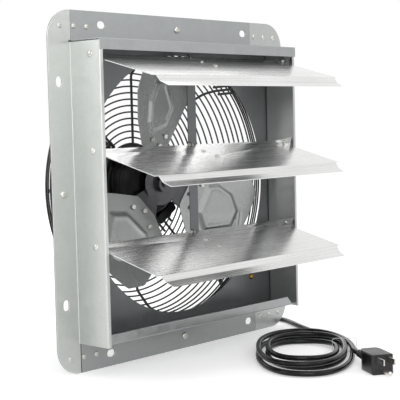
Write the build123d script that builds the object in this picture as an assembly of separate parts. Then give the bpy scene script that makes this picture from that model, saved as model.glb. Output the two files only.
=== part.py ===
from build123d import *
import math
import os

# Shutter exhaust fan: a square wall flange with a shallow sheet-metal housing in front,
# three linked louvres in the housing, a three-blade fan behind them, a wire guard that
# also carries the motor, and a power cord that ends in a loose coil with its plug.
# Millimetres. X to the right, Y from the louvres to the motor, Z up. The origin is on
# the fan's axis, in the front face of the wall flange.

# Driving dimensions of the whole fan
flange_side = 410.0
flange_corner_radius = 32.0
housing_width = 346.0
housing_top = 171.0
housing_depth = 48.0
orifice_radius = 158.2
tip_radius = 150.0
louvre_count = 3
blade_count = 3
motor_radius = 40.0
guard_depth = 84.5
cord_diameter = 6.5
steel_sheet = 1.0
louvre_sheet = 0.8

# Clearances used between pieces
running_clearance = 0.05
piece_gap = 0.3
cut_overrun = 2.0

# The wall flange: fixing slots, rivets and screws
slot_width = 8.5
slot_length = 12.5
slot_edge_distance = 15.0
side_slot_edge_distance = 14.5
slot_half_spacing = 125.0
rivet_sides = 6
screw_sides = 8
hole_sides = 8
flange_rivet_radius = 1.6
flange_rivet_head_radius = 3.2
flange_rivet_head_height = 1.2
flange_rivet_edge_distance = 18.0
flange_rivet_columns = (187.5, 167.0, 148.0)
guard_screw_radius = 2.4
guard_screw_head_radius = 4.4
guard_screw_head_height = 2.6
guard_nut_radius = 4.4
guard_nut_height = 3.2
guard_screw_edge_distance = 15.5
earth_screw_radius = 2.0
earth_screw_head_radius = 3.8
earth_screw_x = 133.8
earth_screw_z = -131.1

# The housing panels
bend_radius = 1.0
side_lip = 5.0
side_panel_drop = 171.0
right_tab_reach = 66.5
top_lip = 12.5
bottom_lip = 11.5
bottom_panel_drop = 168.3
bottom_lip_short_of_wall = 14.5
bottom_lip_corner = 8.0

# The louvres
louvre_pitch = 106.7
top_pivot_height = 154.2
pivot_setback = 32.2
louvre_half_width = 166.5
louvre_rest_angle = 15.0
louvre_plane_drop = 2.6
louvre_tail = 14.0
louvre_blade_length = 92.0
louvre_joggle = 8.3
louvre_joggle_angle = 40.0
louvre_return = 11.0
louvre_return_angle = 10.0
louvre_lip_inset = 6.5
louvre_lip_slant = 4.0
ear_length = 26.0
ear_height = 12.0
pivot_pin_radius = 2.0
pivot_head_radius = 4.0
pivot_head_height = 1.6
pivot_pin_end = 2.0
spacer_radius = 3.8
spacer_end_gap = 0.25

# The tie bar and the clips that join it to the louvres
tie_pin_radius = 1.5
tie_pin_setback = 12.5
tie_pin_drop = 2.1
tie_bar_left = -1.5
tie_bar_width = 14.5
tie_bar_sheet = 1.2
tie_bar_standoff = 2.8
tie_ear_radius = 3.0
tie_head_radius = 2.6
tie_head_height = 1.2
tie_bar_tail = 14.0
clip_sheet = 1.0
clip_left = -11.0
clip_right = -2.0
clip_length = 42.0
clip_plate_start = -9.4
clip_neck_end = -5.0
clip_ear_radius = 3.75
clip_rivet_places = (14.5, 37.5)
notch_length = 6.0
notch_left = -5.0
notch_right = 1.6

# The fan
blade_sheet = 1.2
spider_sheet = 2.0
blade_plane = 29.0
blade_plane_radius = 48.0
blade_pitch_slope = 0.27
blade_cone_slope = -0.15
blade_camber = 4.0
camber_shares = (-1.0, -0.6, -0.2, 0.2, 0.6, 1.0)
first_blade_angle = 97.0
panel_height = 2.0
spider_radius = 27.0
spider_front = 33.0
hub_boss_radius = 10.0
hub_boss_front = 27.0
hub_boss_rear = 41.0
set_screw_radius = 2.5
blade_rivet_radius = 2.0
blade_rivet_head_radius = 3.4
blade_rivet_head_height = 1.4
shaft_radius = 4.0
shaft_front = 24.5

# Outline of a blade as shares of the tip radius: along the blade, then across it
blade_outline_shares = ((0.27, -0.11), (0.36, -0.29), (0.59, -0.36), (0.83, -0.36), (1.03, -0.22),
                        (1.03, 0.29), (0.87, 0.45), (0.65, 0.465), (0.46, 0.29), (0.27, 0.095))
blade_corner_share = 0.075
blade_panel_shares = ((0.465, -0.145), (0.545, -0.185), (0.715, -0.16), (0.853, -0.053),
                      (0.857, 0.087), (0.613, 0.205), (0.485, 0.093))
arm_outline_shares = ((0.12, -0.075), (0.17, -0.085), (0.30, -0.155), (0.425, -0.165),
                      (0.455, -0.09), (0.44, 0.10), (0.39, 0.13), (0.28, 0.11), (0.17, 0.075), (0.12, 0.065))
blade_rivet_shares = ((0.393, -0.128), (0.323, -0.017), (0.388, 0.083))

# The wire guard
upright_rib_angles = (0, 90, 180, 270)
diagonal_rib_angles = (45, 135, 225, 315)
ring_sides = 24
small_ring_sides = 16
small_ring_radius = 100.0
ring_wire = 2.2
rib_wire = 3.4
inner_ring_radius = 50.4
face_ring_pitch = 8.2
face_ring_count = 11
guard_base_radius = 168.1
guard_waist_radius = 162.8
guard_waist_depth = 52.0
guard_face_radius = 143.6
guard_bend_radius = 8.0
guard_foot_radius = 5.0
side_ring_places = (6.8, 18.0, 30.0, 41.5)
shoulder_ring_places = (3.0, 12.5, 22.0, 31.5)
eye_radius = 6.2
stub_spacing = 9.0
inner_stub_reach = (52.1, 86.0)
outer_stub_reach = (110.0, 142.0)

# The motor and its mount
motor_front = 44.0
motor_shell_front = 62.0
motor_shell_rear = 89.6
motor_rear = 108.0
motor_wall = 2.0
motor_sides = 24
small_sides = 12
motor_rib_height = 1.2
motor_rib_width = 3.0
motor_rib_places = (69.0, 81.0)
bell_shoulder_radius = 31.0
bell_boss_radius = 15.0
bell_boss_length = 2.0
bearing_radius = 11.0
bearing_width = 7.0
bearing_wall = 2.5
stator_front = 64.0
stator_rear = 88.0
stator_bore = 24.0
rotor_core_radius = 23.5
winding_radius = 33.0
winding_overhang = 3.0
mount_plate_sheet = 2.0
mount_ring_radius = 49.0
mount_lug_reach = 70.0
mount_lug_width = 20.0
mount_screw_along = 62.7
mount_screw_offset = 4.6
mount_screw_radius = 1.8
mount_screw_head_radius = 2.8
mount_screw_head_height = 1.6
motor_ear_radius = 48.0
motor_ear_width = 12.0
motor_ear_sheet = 3.0
motor_ear_screw_circle = 44.4
motor_ear_screw_radius = 1.6
clamp_bar_length = 10.0
clamp_bar_sheet = 1.5
wiring_box_length = 28.0
wiring_box_width = 34.0
wiring_box_height = 13.0
wiring_box_front = 50.0
wiring_box_angle = -56.0
wiring_box_corner = 3.0

# The cord, the coil and the plug
gland_start = 40.0
gland_depth = 100.0
gland_drop = 15.0
gland_flange_radius = 6.5
gland_flange_length = 3.0
gland_root_radius = 5.5
gland_length = 24.0
gland_tip_radius = 4.4
gland_pad = 13.0
gland_pad_start = 30.0
coil_x = 58.0
coil_y = -143.0
coil_angle = 37.3
coil_quarters = 16
coil_right = 58.0
coil_left = 61.0
coil_near = 131.0
coil_far = 95.0
coil_right_step = 19.0
coil_left_step = 23.0
coil_near_step = 62.0
coil_far_step = 45.0
coil_layer_gap = 0.7
coil_end_right = 58.0
coil_end_far = -30.0
plug_turn = 20.8
plug_bend_radius = 40.0
tie_band_width = 1.6
tie_band_thickness = 0.8
tie_band_gap = 0.2
tie_band_play = 1.4
tie_band_corner = 2.5
tie_band_place = 12.0
relief_length = 26.0
relief_root_radius = 6.6
relief_tip_radius = 4.3
relief_groove = 0.9
relief_ribs = 6
plug_length = 38.0
plug_rear_width = 18.0
plug_width = 26.0
plug_taper_length = 12.0
plug_fillet = 2.5
prong_width = 6.35
prong_thickness = 1.5
prong_length = 17.5
prong_spacing = 12.7
prong_height_share = 0.25
ground_pin_radius = 2.4
ground_pin_length = 20.5
ground_pin_below = 11.9
cord_sides = 6

# The cord's route from the gland to the coil, chosen by hand
cord_route = [
    (64.0, 100.0, -15.0), (90.0, 100.0, -15.0), (115.0, 101.0, -25.0), (136.0, 101.0, -46.0),
    (149.0, 99.0, -73.0), (158.0, 96.0, -101.0), (165.0, 92.0, -131.0), (172.0, 86.0, -159.0),
    (182.0, 77.0, -181.0), (194.5, 63.0, -196.0), (205.5, 45.0, -201.7), (211.5, 26.0, -201.7),
    (209.5, 7.0, -201.7), (201.0, -10.5, -201.7), (187.0, -34.0, -201.7), (171.5, -61.5, -201.7),
    (158.0, -88.0, -201.6), (148.5, -117.5, -201.4), (137.0, -146.0, -201.1), (119.0, -169.4, -200.8),
    (98.4, -185.1, -200.8),
]

os.makedirs("parts", exist_ok=True)

# Places worked out from the driving dimensions
half_flange = flange_side / 2
half_housing = housing_width / 2
housing_inside = half_housing - steel_sheet
flange_stack = 2 * steel_sheet
floor_height = -half_flange
cord_radius = cord_diameter / 2
slot_height = half_flange - slot_edge_distance
side_slot_x = half_flange - side_slot_edge_distance
guard_screw_circle = half_flange - guard_screw_edge_distance
rivet_height = half_flange - flange_rivet_edge_distance
pivot_heights = [top_pivot_height - row * louvre_pitch for row in range(louvre_count)]
axis_y = Axis((0, 0, 0), (0, 1, 0))


def save(node, *solids):
    """Write one node's solids to its own file."""
    export_step(Compound(children=list(solids)), os.path.join("parts", node + ".step"))


def sheet_at(outline, front, thickness):
    """Stand an (X, Z) outline up as a sheet whose front face is at the given Y."""
    return Pos(0, front, 0) * extrude(Plane.XZ * outline, thickness, dir=(0, 1, 0))


def faceted(profile, sides):
    """Turn an outline of (radius, Y) points about the fan's axis into a body with flat sides.

    The radii are measured to the middle of each flat, so that nested bodies keep their gaps.
    """
    step = 2 * math.pi / sides
    stretch = 1 / math.cos(step / 2)
    faces = []
    for (near_radius, near_y), (far_radius, far_y) in zip(profile, profile[1:] + profile[:1]):
        if near_radius == 0 and far_radius == 0:
            continue
        for number in range(sides):
            corners = []
            for radius, y, turn in ((near_radius, near_y, number), (far_radius, far_y, number),
                                    (far_radius, far_y, number + 1), (near_radius, near_y, number + 1)):
                angle = (turn - 0.5) * step
                corner = Vector(radius * stretch * math.cos(angle), y, radius * stretch * math.sin(angle))
                if all((corner - other).length > 0 for other in corners):
                    corners.append(corner)
            faces.append(Face(Wire.make_polygon(corners)))
    body = Solid(Shell(faces))
    return body if body.volume > 0 else -body


def around(shape, angle):
    """Turn a shape about the fan's axis, from the X axis towards the Z axis."""
    return shape.rotate(axis_y, -angle)


def polar(radius, angle):
    """X and Z of a place on a circle about the fan's axis."""
    return radius * math.cos(math.radians(angle)), radius * math.sin(math.radians(angle))


def bar(start, end, radius, sides=0):
    """A round or many-sided bar between two points."""
    start, end = Vector(*start), Vector(*end)
    way = (end - start).normalized()
    line = Plane(origin=start, x_dir=(0, 1, 0) if abs(way.X) > abs(way.Y) + abs(way.Z) else (1, 0, 0), z_dir=way)
    section = Circle(radius) if sides == 0 else RegularPolygon(radius, sides)
    return extrude(line * section, (end - start).length)


def bore(start, end, pin_radius):
    """The room for a pin: a many-sided bar whose flats clear the pin all round."""
    return bar(start, end, (pin_radius + running_clearance) / math.cos(math.pi / hole_sides), hole_sides)


def pin_hole(pin_radius):
    """The same room as a flat outline."""
    return RegularPolygon(pin_radius + running_clearance, hole_sides, major_radius=False)


def rivet(place, direction, radius, grip, head_radius, head_height, sides=rivet_sides):
    """A rivet or screw whose head stands in front of the place and whose shank fills the grip."""
    place, direction = Vector(*place), Vector(*direction)
    shank = bar(place - direction * head_height, place + direction * grip, radius, sides)
    return shank + bar(place - direction * head_height, place, head_radius, rivet_sides)


# Wall flange outlines: the square, its slots and its fastener holes
def rounded_square():
    return RectangleRounded(flange_side, flange_side, flange_corner_radius)


def slot_places():
    across = [(x, z, 0) for x in (-slot_half_spacing, slot_half_spacing) for z in (-slot_height, slot_height)]
    upright = [(x, z, 90) for x in (-side_slot_x, side_slot_x) for z in (-slot_half_spacing, slot_half_spacing)]
    return across + upright


def flange_rivet_places():
    return [(side * x, level * rivet_height) for x in flange_rivet_columns for side in (-1, 1) for level in (-1, 1)]


def guard_screw_places():
    return [polar(guard_screw_circle, angle) for angle in upright_rib_angles]


def punch_flange(panel):
    """Cut the slots and fastener holes of the wall flange through a panel."""
    cuts = [Pos(x, z) * Rot(0, 0, turn) * SlotOverall(slot_length, slot_width) for x, z, turn in slot_places()]
    cuts += [Pos(x, z) * RegularPolygon(flange_rivet_radius + running_clearance, rivet_sides)
             for x, z in flange_rivet_places()]
    cuts += [Pos(x, z) * RegularPolygon(guard_screw_radius + running_clearance, screw_sides)
             for x, z in guard_screw_places()]
    depth = flange_stack + 2 * cut_overrun
    for cut in cuts:
        panel -= sheet_at(cut, -cut_overrun, depth)
    return panel


# Side panels: wall, front return lip and wall flange bent from one sheet
def side_panel(flange_start):
    """The right-hand panel; its flange covers the corners inward to flange_start."""
    middle = steel_sheet / 2
    wall_x = half_housing - middle
    path = FilletPolyline((half_flange, middle), (wall_x, middle), (wall_x, middle - housing_depth),
                          (half_housing - side_lip, middle - housing_depth), radius=bend_radius + middle)
    wall_top = housing_top - steel_sheet - bend_radius
    wall = extrude(trace(path, line_width=steel_sheet), side_panel_drop + wall_top)
    wall = Pos(0, 0, -side_panel_drop) * wall
    outline = rounded_square() & (Pos(flange_start + flange_side / 2, 0) * Rectangle(flange_side, flange_side))
    inner_edge = half_housing + 2 * bend_radius
    top_edge = housing_top + piece_gap
    bottom_edge = bottom_panel_drop + piece_gap
    window = Pos(inner_edge - flange_side / 2, (top_edge - bottom_edge) / 2)
    window = window * Rectangle(flange_side, top_edge + bottom_edge)
    return punch_flange(sheet_at(outline - window, 0, steel_sheet) + wall)


def pierce_pivots(panel):
    """Cut the louvre pivot holes through a side panel."""
    for height in pivot_heights:
        start = (housing_inside - cut_overrun, -pivot_setback, height)
        panel -= bore(start, (half_housing + cut_overrun, -pivot_setback, height), pivot_pin_radius)
    return panel


seam = housing_inside - piece_gap
right_seam = half_flange - right_tab_reach
right_side_panel = pierce_pivots(side_panel(right_seam + piece_gap))
left_side_panel = pierce_pivots(side_panel(housing_inside)).mirror(Plane.YZ)
save("right_side_panel", right_side_panel)
save("left_side_panel", left_side_panel)


def trim_flange(panel):
    """Keep the wall flange of the top or bottom panel between the two side panels' flanges."""
    for start, end in ((-flange_side, -seam), (right_seam, flange_side)):
        strip = Pos((start + end) / 2, cut_overrun) * Box(end - start, 2 * cut_overrun, 2 * flange_side)
        panel -= strip
    return panel


# Top panel: its lip lies over the side panels' return lips
middle_of_sheet = steel_sheet / 2
top_path = FilletPolyline((-housing_depth - middle_of_sheet, housing_top - top_lip),
                          (-housing_depth - middle_of_sheet, housing_top - middle_of_sheet),
                          (middle_of_sheet, housing_top - middle_of_sheet),
                          (middle_of_sheet, half_flange), radius=bend_radius + middle_of_sheet)
top_panel = extrude(Plane.YZ * trace(top_path, line_width=steel_sheet), half_housing, both=True)
save("top_panel", punch_flange(trim_flange(top_panel)))

# Bottom panel: it sits between the side walls and its lip stops short of the right wall
bottom_front = -housing_depth + steel_sheet + middle_of_sheet
bottom_path = FilletPolyline((bottom_front, bottom_lip - bottom_panel_drop),
                             (bottom_front, middle_of_sheet - bottom_panel_drop),
                             (middle_of_sheet, middle_of_sheet - bottom_panel_drop),
                             (middle_of_sheet, -half_flange), radius=bend_radius + middle_of_sheet)
bottom_panel = extrude(Plane.YZ * trace(bottom_path, line_width=steel_sheet), seam - bend_radius, both=True)
lip_end = housing_inside - bottom_lip_short_of_wall
lip_base = steel_sheet + bend_radius - bottom_panel_drop
lip_top = bottom_lip - bottom_panel_drop
lip_cut = make_face(Polyline((lip_end, lip_base), (half_flange, lip_base), (half_flange, lip_top + cut_overrun),
                             (lip_end - bottom_lip_corner, lip_top + cut_overrun),
                             (lip_end - bottom_lip_corner, lip_top), (lip_end, lip_top - bottom_lip_corner),
                             close=True))
bottom_panel -= sheet_at(lip_cut, -housing_depth - cut_overrun, 2 * cut_overrun + 2 * steel_sheet)
save("bottom_panel", punch_flange(trim_flange(bottom_panel)))

# Orifice panel: the full-size sheet behind, with the fan's round opening
earth_hole = Pos(earth_screw_x, earth_screw_z) * RegularPolygon(earth_screw_radius + running_clearance, rivet_sides)
earth_hole = sheet_at(earth_hole, -cut_overrun, flange_stack + 2 * cut_overrun)
orifice_panel = punch_flange(sheet_at(rounded_square() - Circle(orifice_radius), steel_sheet, steel_sheet))
save("orifice_panel", orifice_panel - earth_hole)

# Rivets that join the flange sheets at the corners
flange_rivets = [rivet((x, 0, z), (0, 1, 0), flange_rivet_radius, flange_stack, flange_rivet_head_radius,
                       flange_rivet_head_height)
                 for x, z in flange_rivet_places()]
save("flange_rivets", *flange_rivets)

# Louvres, in their own plane: first coordinate forward from the pivot, second upward
def louvre_plane(row):
    """The louvre's own frame at its rest angle; the extrusion direction is to the left."""
    turn = math.radians(louvre_rest_angle)
    forward = (0, -math.cos(turn), -math.sin(turn))
    return Plane(origin=(0, -pivot_setback, pivot_heights[row]), x_dir=forward, z_dir=(-1, 0, 0))


def louvre_place(row, forward, up):
    """Y and Z of a point of a louvre at rest."""
    turn = math.radians(louvre_rest_angle)
    y = -pivot_setback - forward * math.cos(turn) - up * math.sin(turn)
    return y, pivot_heights[row] - forward * math.sin(turn) + up * math.cos(turn)


def step_on(point, length, angle):
    """The next point of a bent profile, a length further on and turned down by the angle."""
    turn = math.radians(angle)
    return point[0] + length * math.cos(turn), point[1] - length * math.sin(turn)


def make_louvre():
    """One pressed louvre with its front joggle, its upturned ears and the notch for the tie bar."""
    fold = (louvre_blade_length, -louvre_plane_drop)
    knee = step_on(fold, louvre_joggle, louvre_joggle_angle)
    nose = step_on(knee, louvre_return, louvre_return_angle)
    path = FilletPolyline((-louvre_tail, -louvre_plane_drop), fold, knee, nose, radius=bend_radius)
    louvre = extrude(trace(path, line_width=louvre_sheet), louvre_half_width, both=True)
    ear_base = -louvre_plane_drop - louvre_sheet / 2
    ear_front = ear_length - louvre_tail
    ear = make_face(Polyline((-louvre_tail, ear_base), (ear_front, ear_base),
                             (ear_front, ear_height - louvre_plane_drop), (-louvre_tail, ear_base + louvre_sheet),
                             close=True))
    ear = extrude(ear - pin_hole(pivot_pin_radius), louvre_sheet)
    lip_half = louvre_half_width - louvre_lip_inset
    tip = nose[0] + cut_overrun
    for side in (-1, 1):
        start = side * louvre_half_width - (louvre_sheet if side > 0 else 0)
        louvre += Pos(0, 0, start) * ear
        end_cut = make_face(Polyline((fold[0], side * lip_half), (tip, side * (lip_half - louvre_lip_slant)),
                                     (tip, side * (louvre_half_width + cut_overrun)),
                                     (fold[0], side * (louvre_half_width + cut_overrun)), close=True))
        louvre -= extrude(Plane.XZ * end_cut, 2 * louvre_half_width, both=True)
    notch = Box(notch_length + cut_overrun, 2 * cut_overrun, notch_right - notch_left)
    notch = Pos(notch_length - louvre_tail - (notch_length + cut_overrun) / 2, -louvre_plane_drop,
                -(notch_left + notch_right) / 2) * notch
    louvre -= notch
    for place in clip_rivet_places:
        louvre -= bar((place, -2 * louvre_plane_drop, clip_rivet_line), (place, 0, clip_rivet_line),
                      flange_rivet_radius + running_clearance, rivet_sides)
    return louvre


def make_clip():
    """The clip under a louvre, with the upright ear that carries the tie bar's pin."""
    top = -louvre_plane_drop - louvre_sheet / 2
    plate = Pos((clip_length + clip_plate_start) / 2, top - clip_sheet / 2, clip_rivet_line)
    plate = plate * Box(clip_length - clip_plate_start, clip_sheet, clip_right - clip_left)
    for place in clip_rivet_places:
        plate -= bar((place, top - 2 * clip_sheet, clip_rivet_line), (place, 0, clip_rivet_line),
                     flange_rivet_radius + running_clearance, rivet_sides)
    foot = top - clip_sheet
    neck = Pos((clip_neck_end - tie_pin_setback) / 2, (foot + top) / 2)
    neck = neck * Rectangle(clip_neck_end + tie_pin_setback, clip_sheet)
    ear = neck + Pos(-tie_pin_setback, -tie_pin_drop) * RegularPolygon(clip_ear_radius, hole_sides)
    ear &= Pos(-tie_pin_setback, foot + clip_length / 2) * Rectangle(clip_length, clip_length)
    ear -= Pos(-tie_pin_setback, -tie_pin_drop) * pin_hole(tie_pin_radius)
    return plate + Pos(0, 0, -clip_right) * extrude(ear, clip_sheet)


clip_rivet_line = -(clip_left + clip_right) / 2
louvre_shape = make_louvre()
clip_shape = make_clip()
clip_rivet_grip = louvre_sheet + clip_sheet
tie_pin_left = clip_right - clip_sheet - running_clearance
tie_ear_right = tie_bar_left + tie_bar_sheet
clip_rivet_shapes = [
    rivet((place, -louvre_plane_drop + louvre_sheet / 2, clip_rivet_line), (0, -1, 0), flange_rivet_radius,
          clip_rivet_grip, flange_rivet_head_radius, flange_rivet_head_height)
    for place in clip_rivet_places]
tie_pin_grip = tie_ear_right + piece_gap - tie_pin_left
tie_rivet_shape = rivet((-tie_pin_setback, -tie_pin_drop, -tie_pin_left), (0, 0, -1), tie_pin_radius,
                        tie_pin_grip + tie_head_height, tie_head_radius, tie_head_height, sides=0)
tie_rivet_shape += bar((-tie_pin_setback, -tie_pin_drop, -tie_pin_left - tie_pin_grip),
                       (-tie_pin_setback, -tie_pin_drop, -tie_pin_left - tie_pin_grip - tie_head_height),
                       tie_head_radius, rivet_sides)
for row in range(louvre_count):
    name = "louvre_" + str(row + 1)
    plane = louvre_plane(row)
    save(name + "_panel", plane * louvre_shape)
    save(name + "_clip", plane * clip_shape)
    save(name + "_rivets", *[plane * shape for shape in clip_rivet_shapes + [tie_rivet_shape]])

# Pivot rivets through the walls, and the nylon spacers between wall and louvre
pivot_rivets = []
pivot_spacers = []
ear_inside = louvre_half_width - louvre_sheet - pivot_pin_end
for height in pivot_heights:
    for side in (-1, 1):
        outside = (side * half_housing, -pivot_setback, height)
        pivot_rivets.append(rivet(outside, (-side, 0, 0), pivot_pin_radius, half_housing - ear_inside,
                                  pivot_head_radius, pivot_head_height, sides=0))
        inner_end = (side * (louvre_half_width + spacer_end_gap), -pivot_setback, height)
        outer_end = (side * (housing_inside - spacer_end_gap), -pivot_setback, height)
        sleeve = bar(inner_end, outer_end, spacer_radius, hole_sides)
        pivot_spacers.append(sleeve - bore(inner_end, outer_end, pivot_pin_radius))
save("louvre_pivot_rivets", *pivot_rivets)
save("louvre_pivot_spacers", *pivot_spacers)

# Tie bar: an upright strip behind the louvres, with an ear for each louvre's pin
pin_places = [louvre_place(row, -tie_pin_setback, -tie_pin_drop) for row in range(louvre_count)]
bar_front = pin_places[0][0] + tie_bar_standoff
tie_ear_half = tie_ear_radius * math.cos(math.pi / hole_sides)
bar_top = pin_places[0][1] + tie_ear_radius
bar_bottom = pin_places[-1][1] - tie_bar_tail
strip = Pos(tie_bar_left + tie_bar_width / 2, bar_front + tie_bar_sheet / 2, (bar_top + bar_bottom) / 2)
tie_bar = strip * Box(tie_bar_width, tie_bar_sheet, bar_top - bar_bottom)
for y, z in pin_places:
    ear = Pos(y, z) * RegularPolygon(tie_ear_radius, hole_sides, rotation=180 / hole_sides)
    ear += Pos((y + bar_front + tie_bar_sheet) / 2, z) * Rectangle(tie_bar_standoff + tie_bar_sheet, 2 * tie_ear_half)
    ear -= Pos(y, z) * pin_hole(tie_pin_radius)
    tie_bar += Pos(tie_bar_left, 0, 0) * extrude(Plane.YZ * ear, tie_bar_sheet)
save("tie_bar", tie_bar)


# The fan's blades and spider, in a frame with X along the blade and Y across it, clockwise
def blade_frame(number):
    x, z = polar(1, first_blade_angle - number * 360 / blade_count)
    return Plane(origin=(0, 0, 0), x_dir=(x, 0, z), z_dir=(0, 1, 0))


def scaled(shares):
    return [(tip_radius * along, tip_radius * across) for along, across in shares]


def blade_height(along, across):
    """Height along the axis of the middle of the blade's sheet.

    Across the blade the sheet is bent in flats whose edges lie on a parabola.
    """
    share = across / (tip_radius / 2)
    hollow = blade_camber * max((near + far) * share - near * far for near, far in zip(camber_shares, camber_shares[1:]))
    return blade_plane + blade_cone_slope * (along - blade_plane_radius) + across * blade_pitch_slope - hollow


def blade_surface(shift, sheet):
    """The cambered and pitched sheet that a blade or a spider arm is cut from, moved along the axis."""
    start = hub_boss_radius
    half_sheet = sheet / 2 * math.hypot(1, blade_pitch_slope)
    middle = [(share * tip_radius / 2, shift + blade_height(start, share * tip_radius / 2)) for share in camber_shares]
    rear_side = [(across, height + half_sheet) for across, height in middle]
    front_side = [(across, height - half_sheet) for across, height in reversed(middle)]
    section = make_face(Polyline(*rear_side, *front_side, close=True))
    section = Plane(origin=(start, 0, 0), x_dir=(0, 1, 0), z_dir=(1, 0, 0)) * section
    return extrude(section, (tip_radius - start) * math.hypot(1, blade_cone_slope), dir=(1, 0, blade_cone_slope))


def prism(outline):
    return Pos(0, 0, -tip_radius) * extrude(outline, 2 * tip_radius)


def make_blade():
    """One pressed blade: a wide paddle with a raised six-sided field."""
    outline = make_face(Polyline(*scaled(blade_outline_shares), close=True))
    outline = fillet(outline.vertices(), blade_corner_share * tip_radius) & Circle(tip_radius)
    field = make_face(Polyline(*scaled(blade_panel_shares), close=True))
    rim = offset(field, blade_sheet, kind=Kind.INTERSECTION)
    base = blade_surface(0, blade_sheet) & prism(outline - field)
    raised = blade_surface(-panel_height, blade_sheet) & prism(rim)
    edge = blade_surface(-panel_height / 2, blade_sheet + panel_height) & prism(rim - field)
    blade = base + raised + edge
    for along, across in scaled(blade_rivet_shares):
        blade -= prism(Pos(along, across) * RegularPolygon(blade_rivet_radius + running_clearance, rivet_sides))
    return blade


spider_shift = (blade_sheet + spider_sheet) / 2 + piece_gap
spider_arm = blade_surface(spider_shift, spider_sheet) & prism(
    make_face(Polyline(*scaled(arm_outline_shares), close=True)))
for along, across in scaled(blade_rivet_shares):
    spider_arm -= prism(Pos(along, across) * RegularPolygon(blade_rivet_radius + running_clearance, rivet_sides))
spider_disc = sheet_at(Circle(spider_radius), spider_front, spider_sheet)
fan_spider = spider_disc
blade_shape = make_blade()
blade_rivets = []
rivet_grip = blade_sheet + spider_sheet + piece_gap
for number in range(blade_count):
    frame = blade_frame(number)
    fan_spider += frame * spider_arm
    save("fan_blade_" + str(number + 1), frame * blade_shape)
    for along, across in scaled(blade_rivet_shares):
        height = blade_height(along, across)
        slack = blade_rivet_head_radius * blade_pitch_slope + piece_gap
        shape = rivet((along, across, height - blade_sheet / 2 - slack), (0, 0, 1), blade_rivet_radius,
                      rivet_grip + 2 * slack, blade_rivet_head_radius, blade_rivet_head_height)
        blade_rivets.append(frame * shape)
boss_hole = faceted([(0, -tip_radius), (hub_boss_radius, -tip_radius), (hub_boss_radius, tip_radius),
                     (0, tip_radius)], small_sides)
save("fan_spider", fan_spider - boss_hole)
save("blade_rivets", *blade_rivets)

# Hub boss on the shaft, with its set screw
hub_boss = faceted([(shaft_radius, hub_boss_front), (hub_boss_radius, hub_boss_front),
                    (hub_boss_radius, hub_boss_rear), (shaft_radius, hub_boss_rear)], small_sides)
set_screw_y = (spider_front + spider_sheet + hub_boss_rear) / 2
set_screw_hole = bar((0, set_screw_y, 0), (0, set_screw_y, hub_boss_radius + cut_overrun), set_screw_radius,
                     rivet_sides)
save("hub_boss", hub_boss - set_screw_hole)
save("hub_set_screw", bar((0, set_screw_y, shaft_radius), (0, set_screw_y, hub_boss_radius),
                          set_screw_radius - running_clearance, rivet_sides))
save("motor_shaft", bar((0, shaft_front, 0), (0, motor_rear - bearing_wall - running_clearance, 0), shaft_radius))

# Wire guard: the rib's line from the wall flange over the shoulder to the inner ring
guard_face = guard_depth - rib_wire / 2
rib_foot = flange_stack + rib_wire / 2
base_corner = Vector(guard_base_radius, rib_foot)
waist_corner = Vector(guard_waist_radius, guard_waist_depth)
face_corner = Vector(guard_face_radius, guard_face)
inner_end = Vector(inner_ring_radius, guard_face)
eye_end = Vector(guard_screw_circle - (eye_radius + guard_screw_radius) / 2, rib_foot)


def wire_rib(points, radii):
    """A bent wire of square section in the plane of the axis, turned to its place later."""
    path = FilletPolyline(*points, radius=radii)
    return extrude(trace(path, line_width=rib_wire), rib_wire / 2, both=True)


def ring(radius, depth, wire):
    """A closed wire ring of many straight sides, with a flat side at each rib."""
    sides = small_ring_sides if radius < small_ring_radius else ring_sides
    outer = RegularPolygon(radius + wire / 2, sides, major_radius=False, rotation=180 / sides)
    inner = RegularPolygon(radius - wire / 2, sides, major_radius=False, rotation=180 / sides)
    return sheet_at(outer - inner, depth - wire / 2, wire)


def rings_along(start, end, places):
    """Rings that lie against the outside of the ribs' straight stretch from start to end."""
    line = (end - start).normalized()
    outward = Vector(line.Y, -line.X)
    stand = rib_wire / 2 + ring_wire / 2 * (abs(outward.X) + abs(outward.Y)) + running_clearance
    spots = [start + line * place + outward * stand for place in places]
    return [ring(spot.X, spot.Y, ring_wire) for spot in spots]


rib_points = [eye_end, base_corner, waist_corner, face_corner, inner_end]
straight_rib = wire_rib([(p.X, p.Y) for p in rib_points], [guard_foot_radius, guard_bend_radius, guard_bend_radius])
eye = sheet_at(Pos(guard_screw_circle, 0) * (RegularPolygon(eye_radius, 2 * rivet_sides)
                                            - RegularPolygon(guard_screw_radius + running_clearance, screw_sides)),
               flange_stack, rib_wire)
straight_rib = straight_rib - sheet_at(Pos(guard_screw_circle, 0) * RegularPolygon(
    guard_screw_radius + running_clearance, screw_sides), 0, guard_depth / 2) + eye
save("guard_ribs", *[around(straight_rib, angle) for angle in upright_rib_angles])
base_point = base_corner + (waist_corner - base_corner).normalized() * (side_ring_places[0] - ring_wire)
diagonal_points = [(p.X, p.Y) for p in (base_point, waist_corner, face_corner, inner_end)]
diagonal_rib = wire_rib(diagonal_points, [guard_bend_radius, guard_bend_radius])
save("guard_diagonal_ribs", *[around(diagonal_rib, angle) for angle in diagonal_rib_angles])
face_ring_y = guard_depth + ring_wire / 2
face_rings = [ring(inner_ring_radius + face_ring_pitch * (number + 1), face_ring_y, ring_wire)
              for number in range(face_ring_count)]
save("guard_face_rings", *face_rings)
inner_ring_y = guard_depth + rib_wire / 2
save("guard_inner_ring", ring(inner_ring_radius, inner_ring_y, rib_wire))
save("guard_side_rings", *rings_along(base_corner, waist_corner, side_ring_places),
     *rings_along(waist_corner, face_corner, shoulder_ring_places))
stub_wires = []
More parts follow.
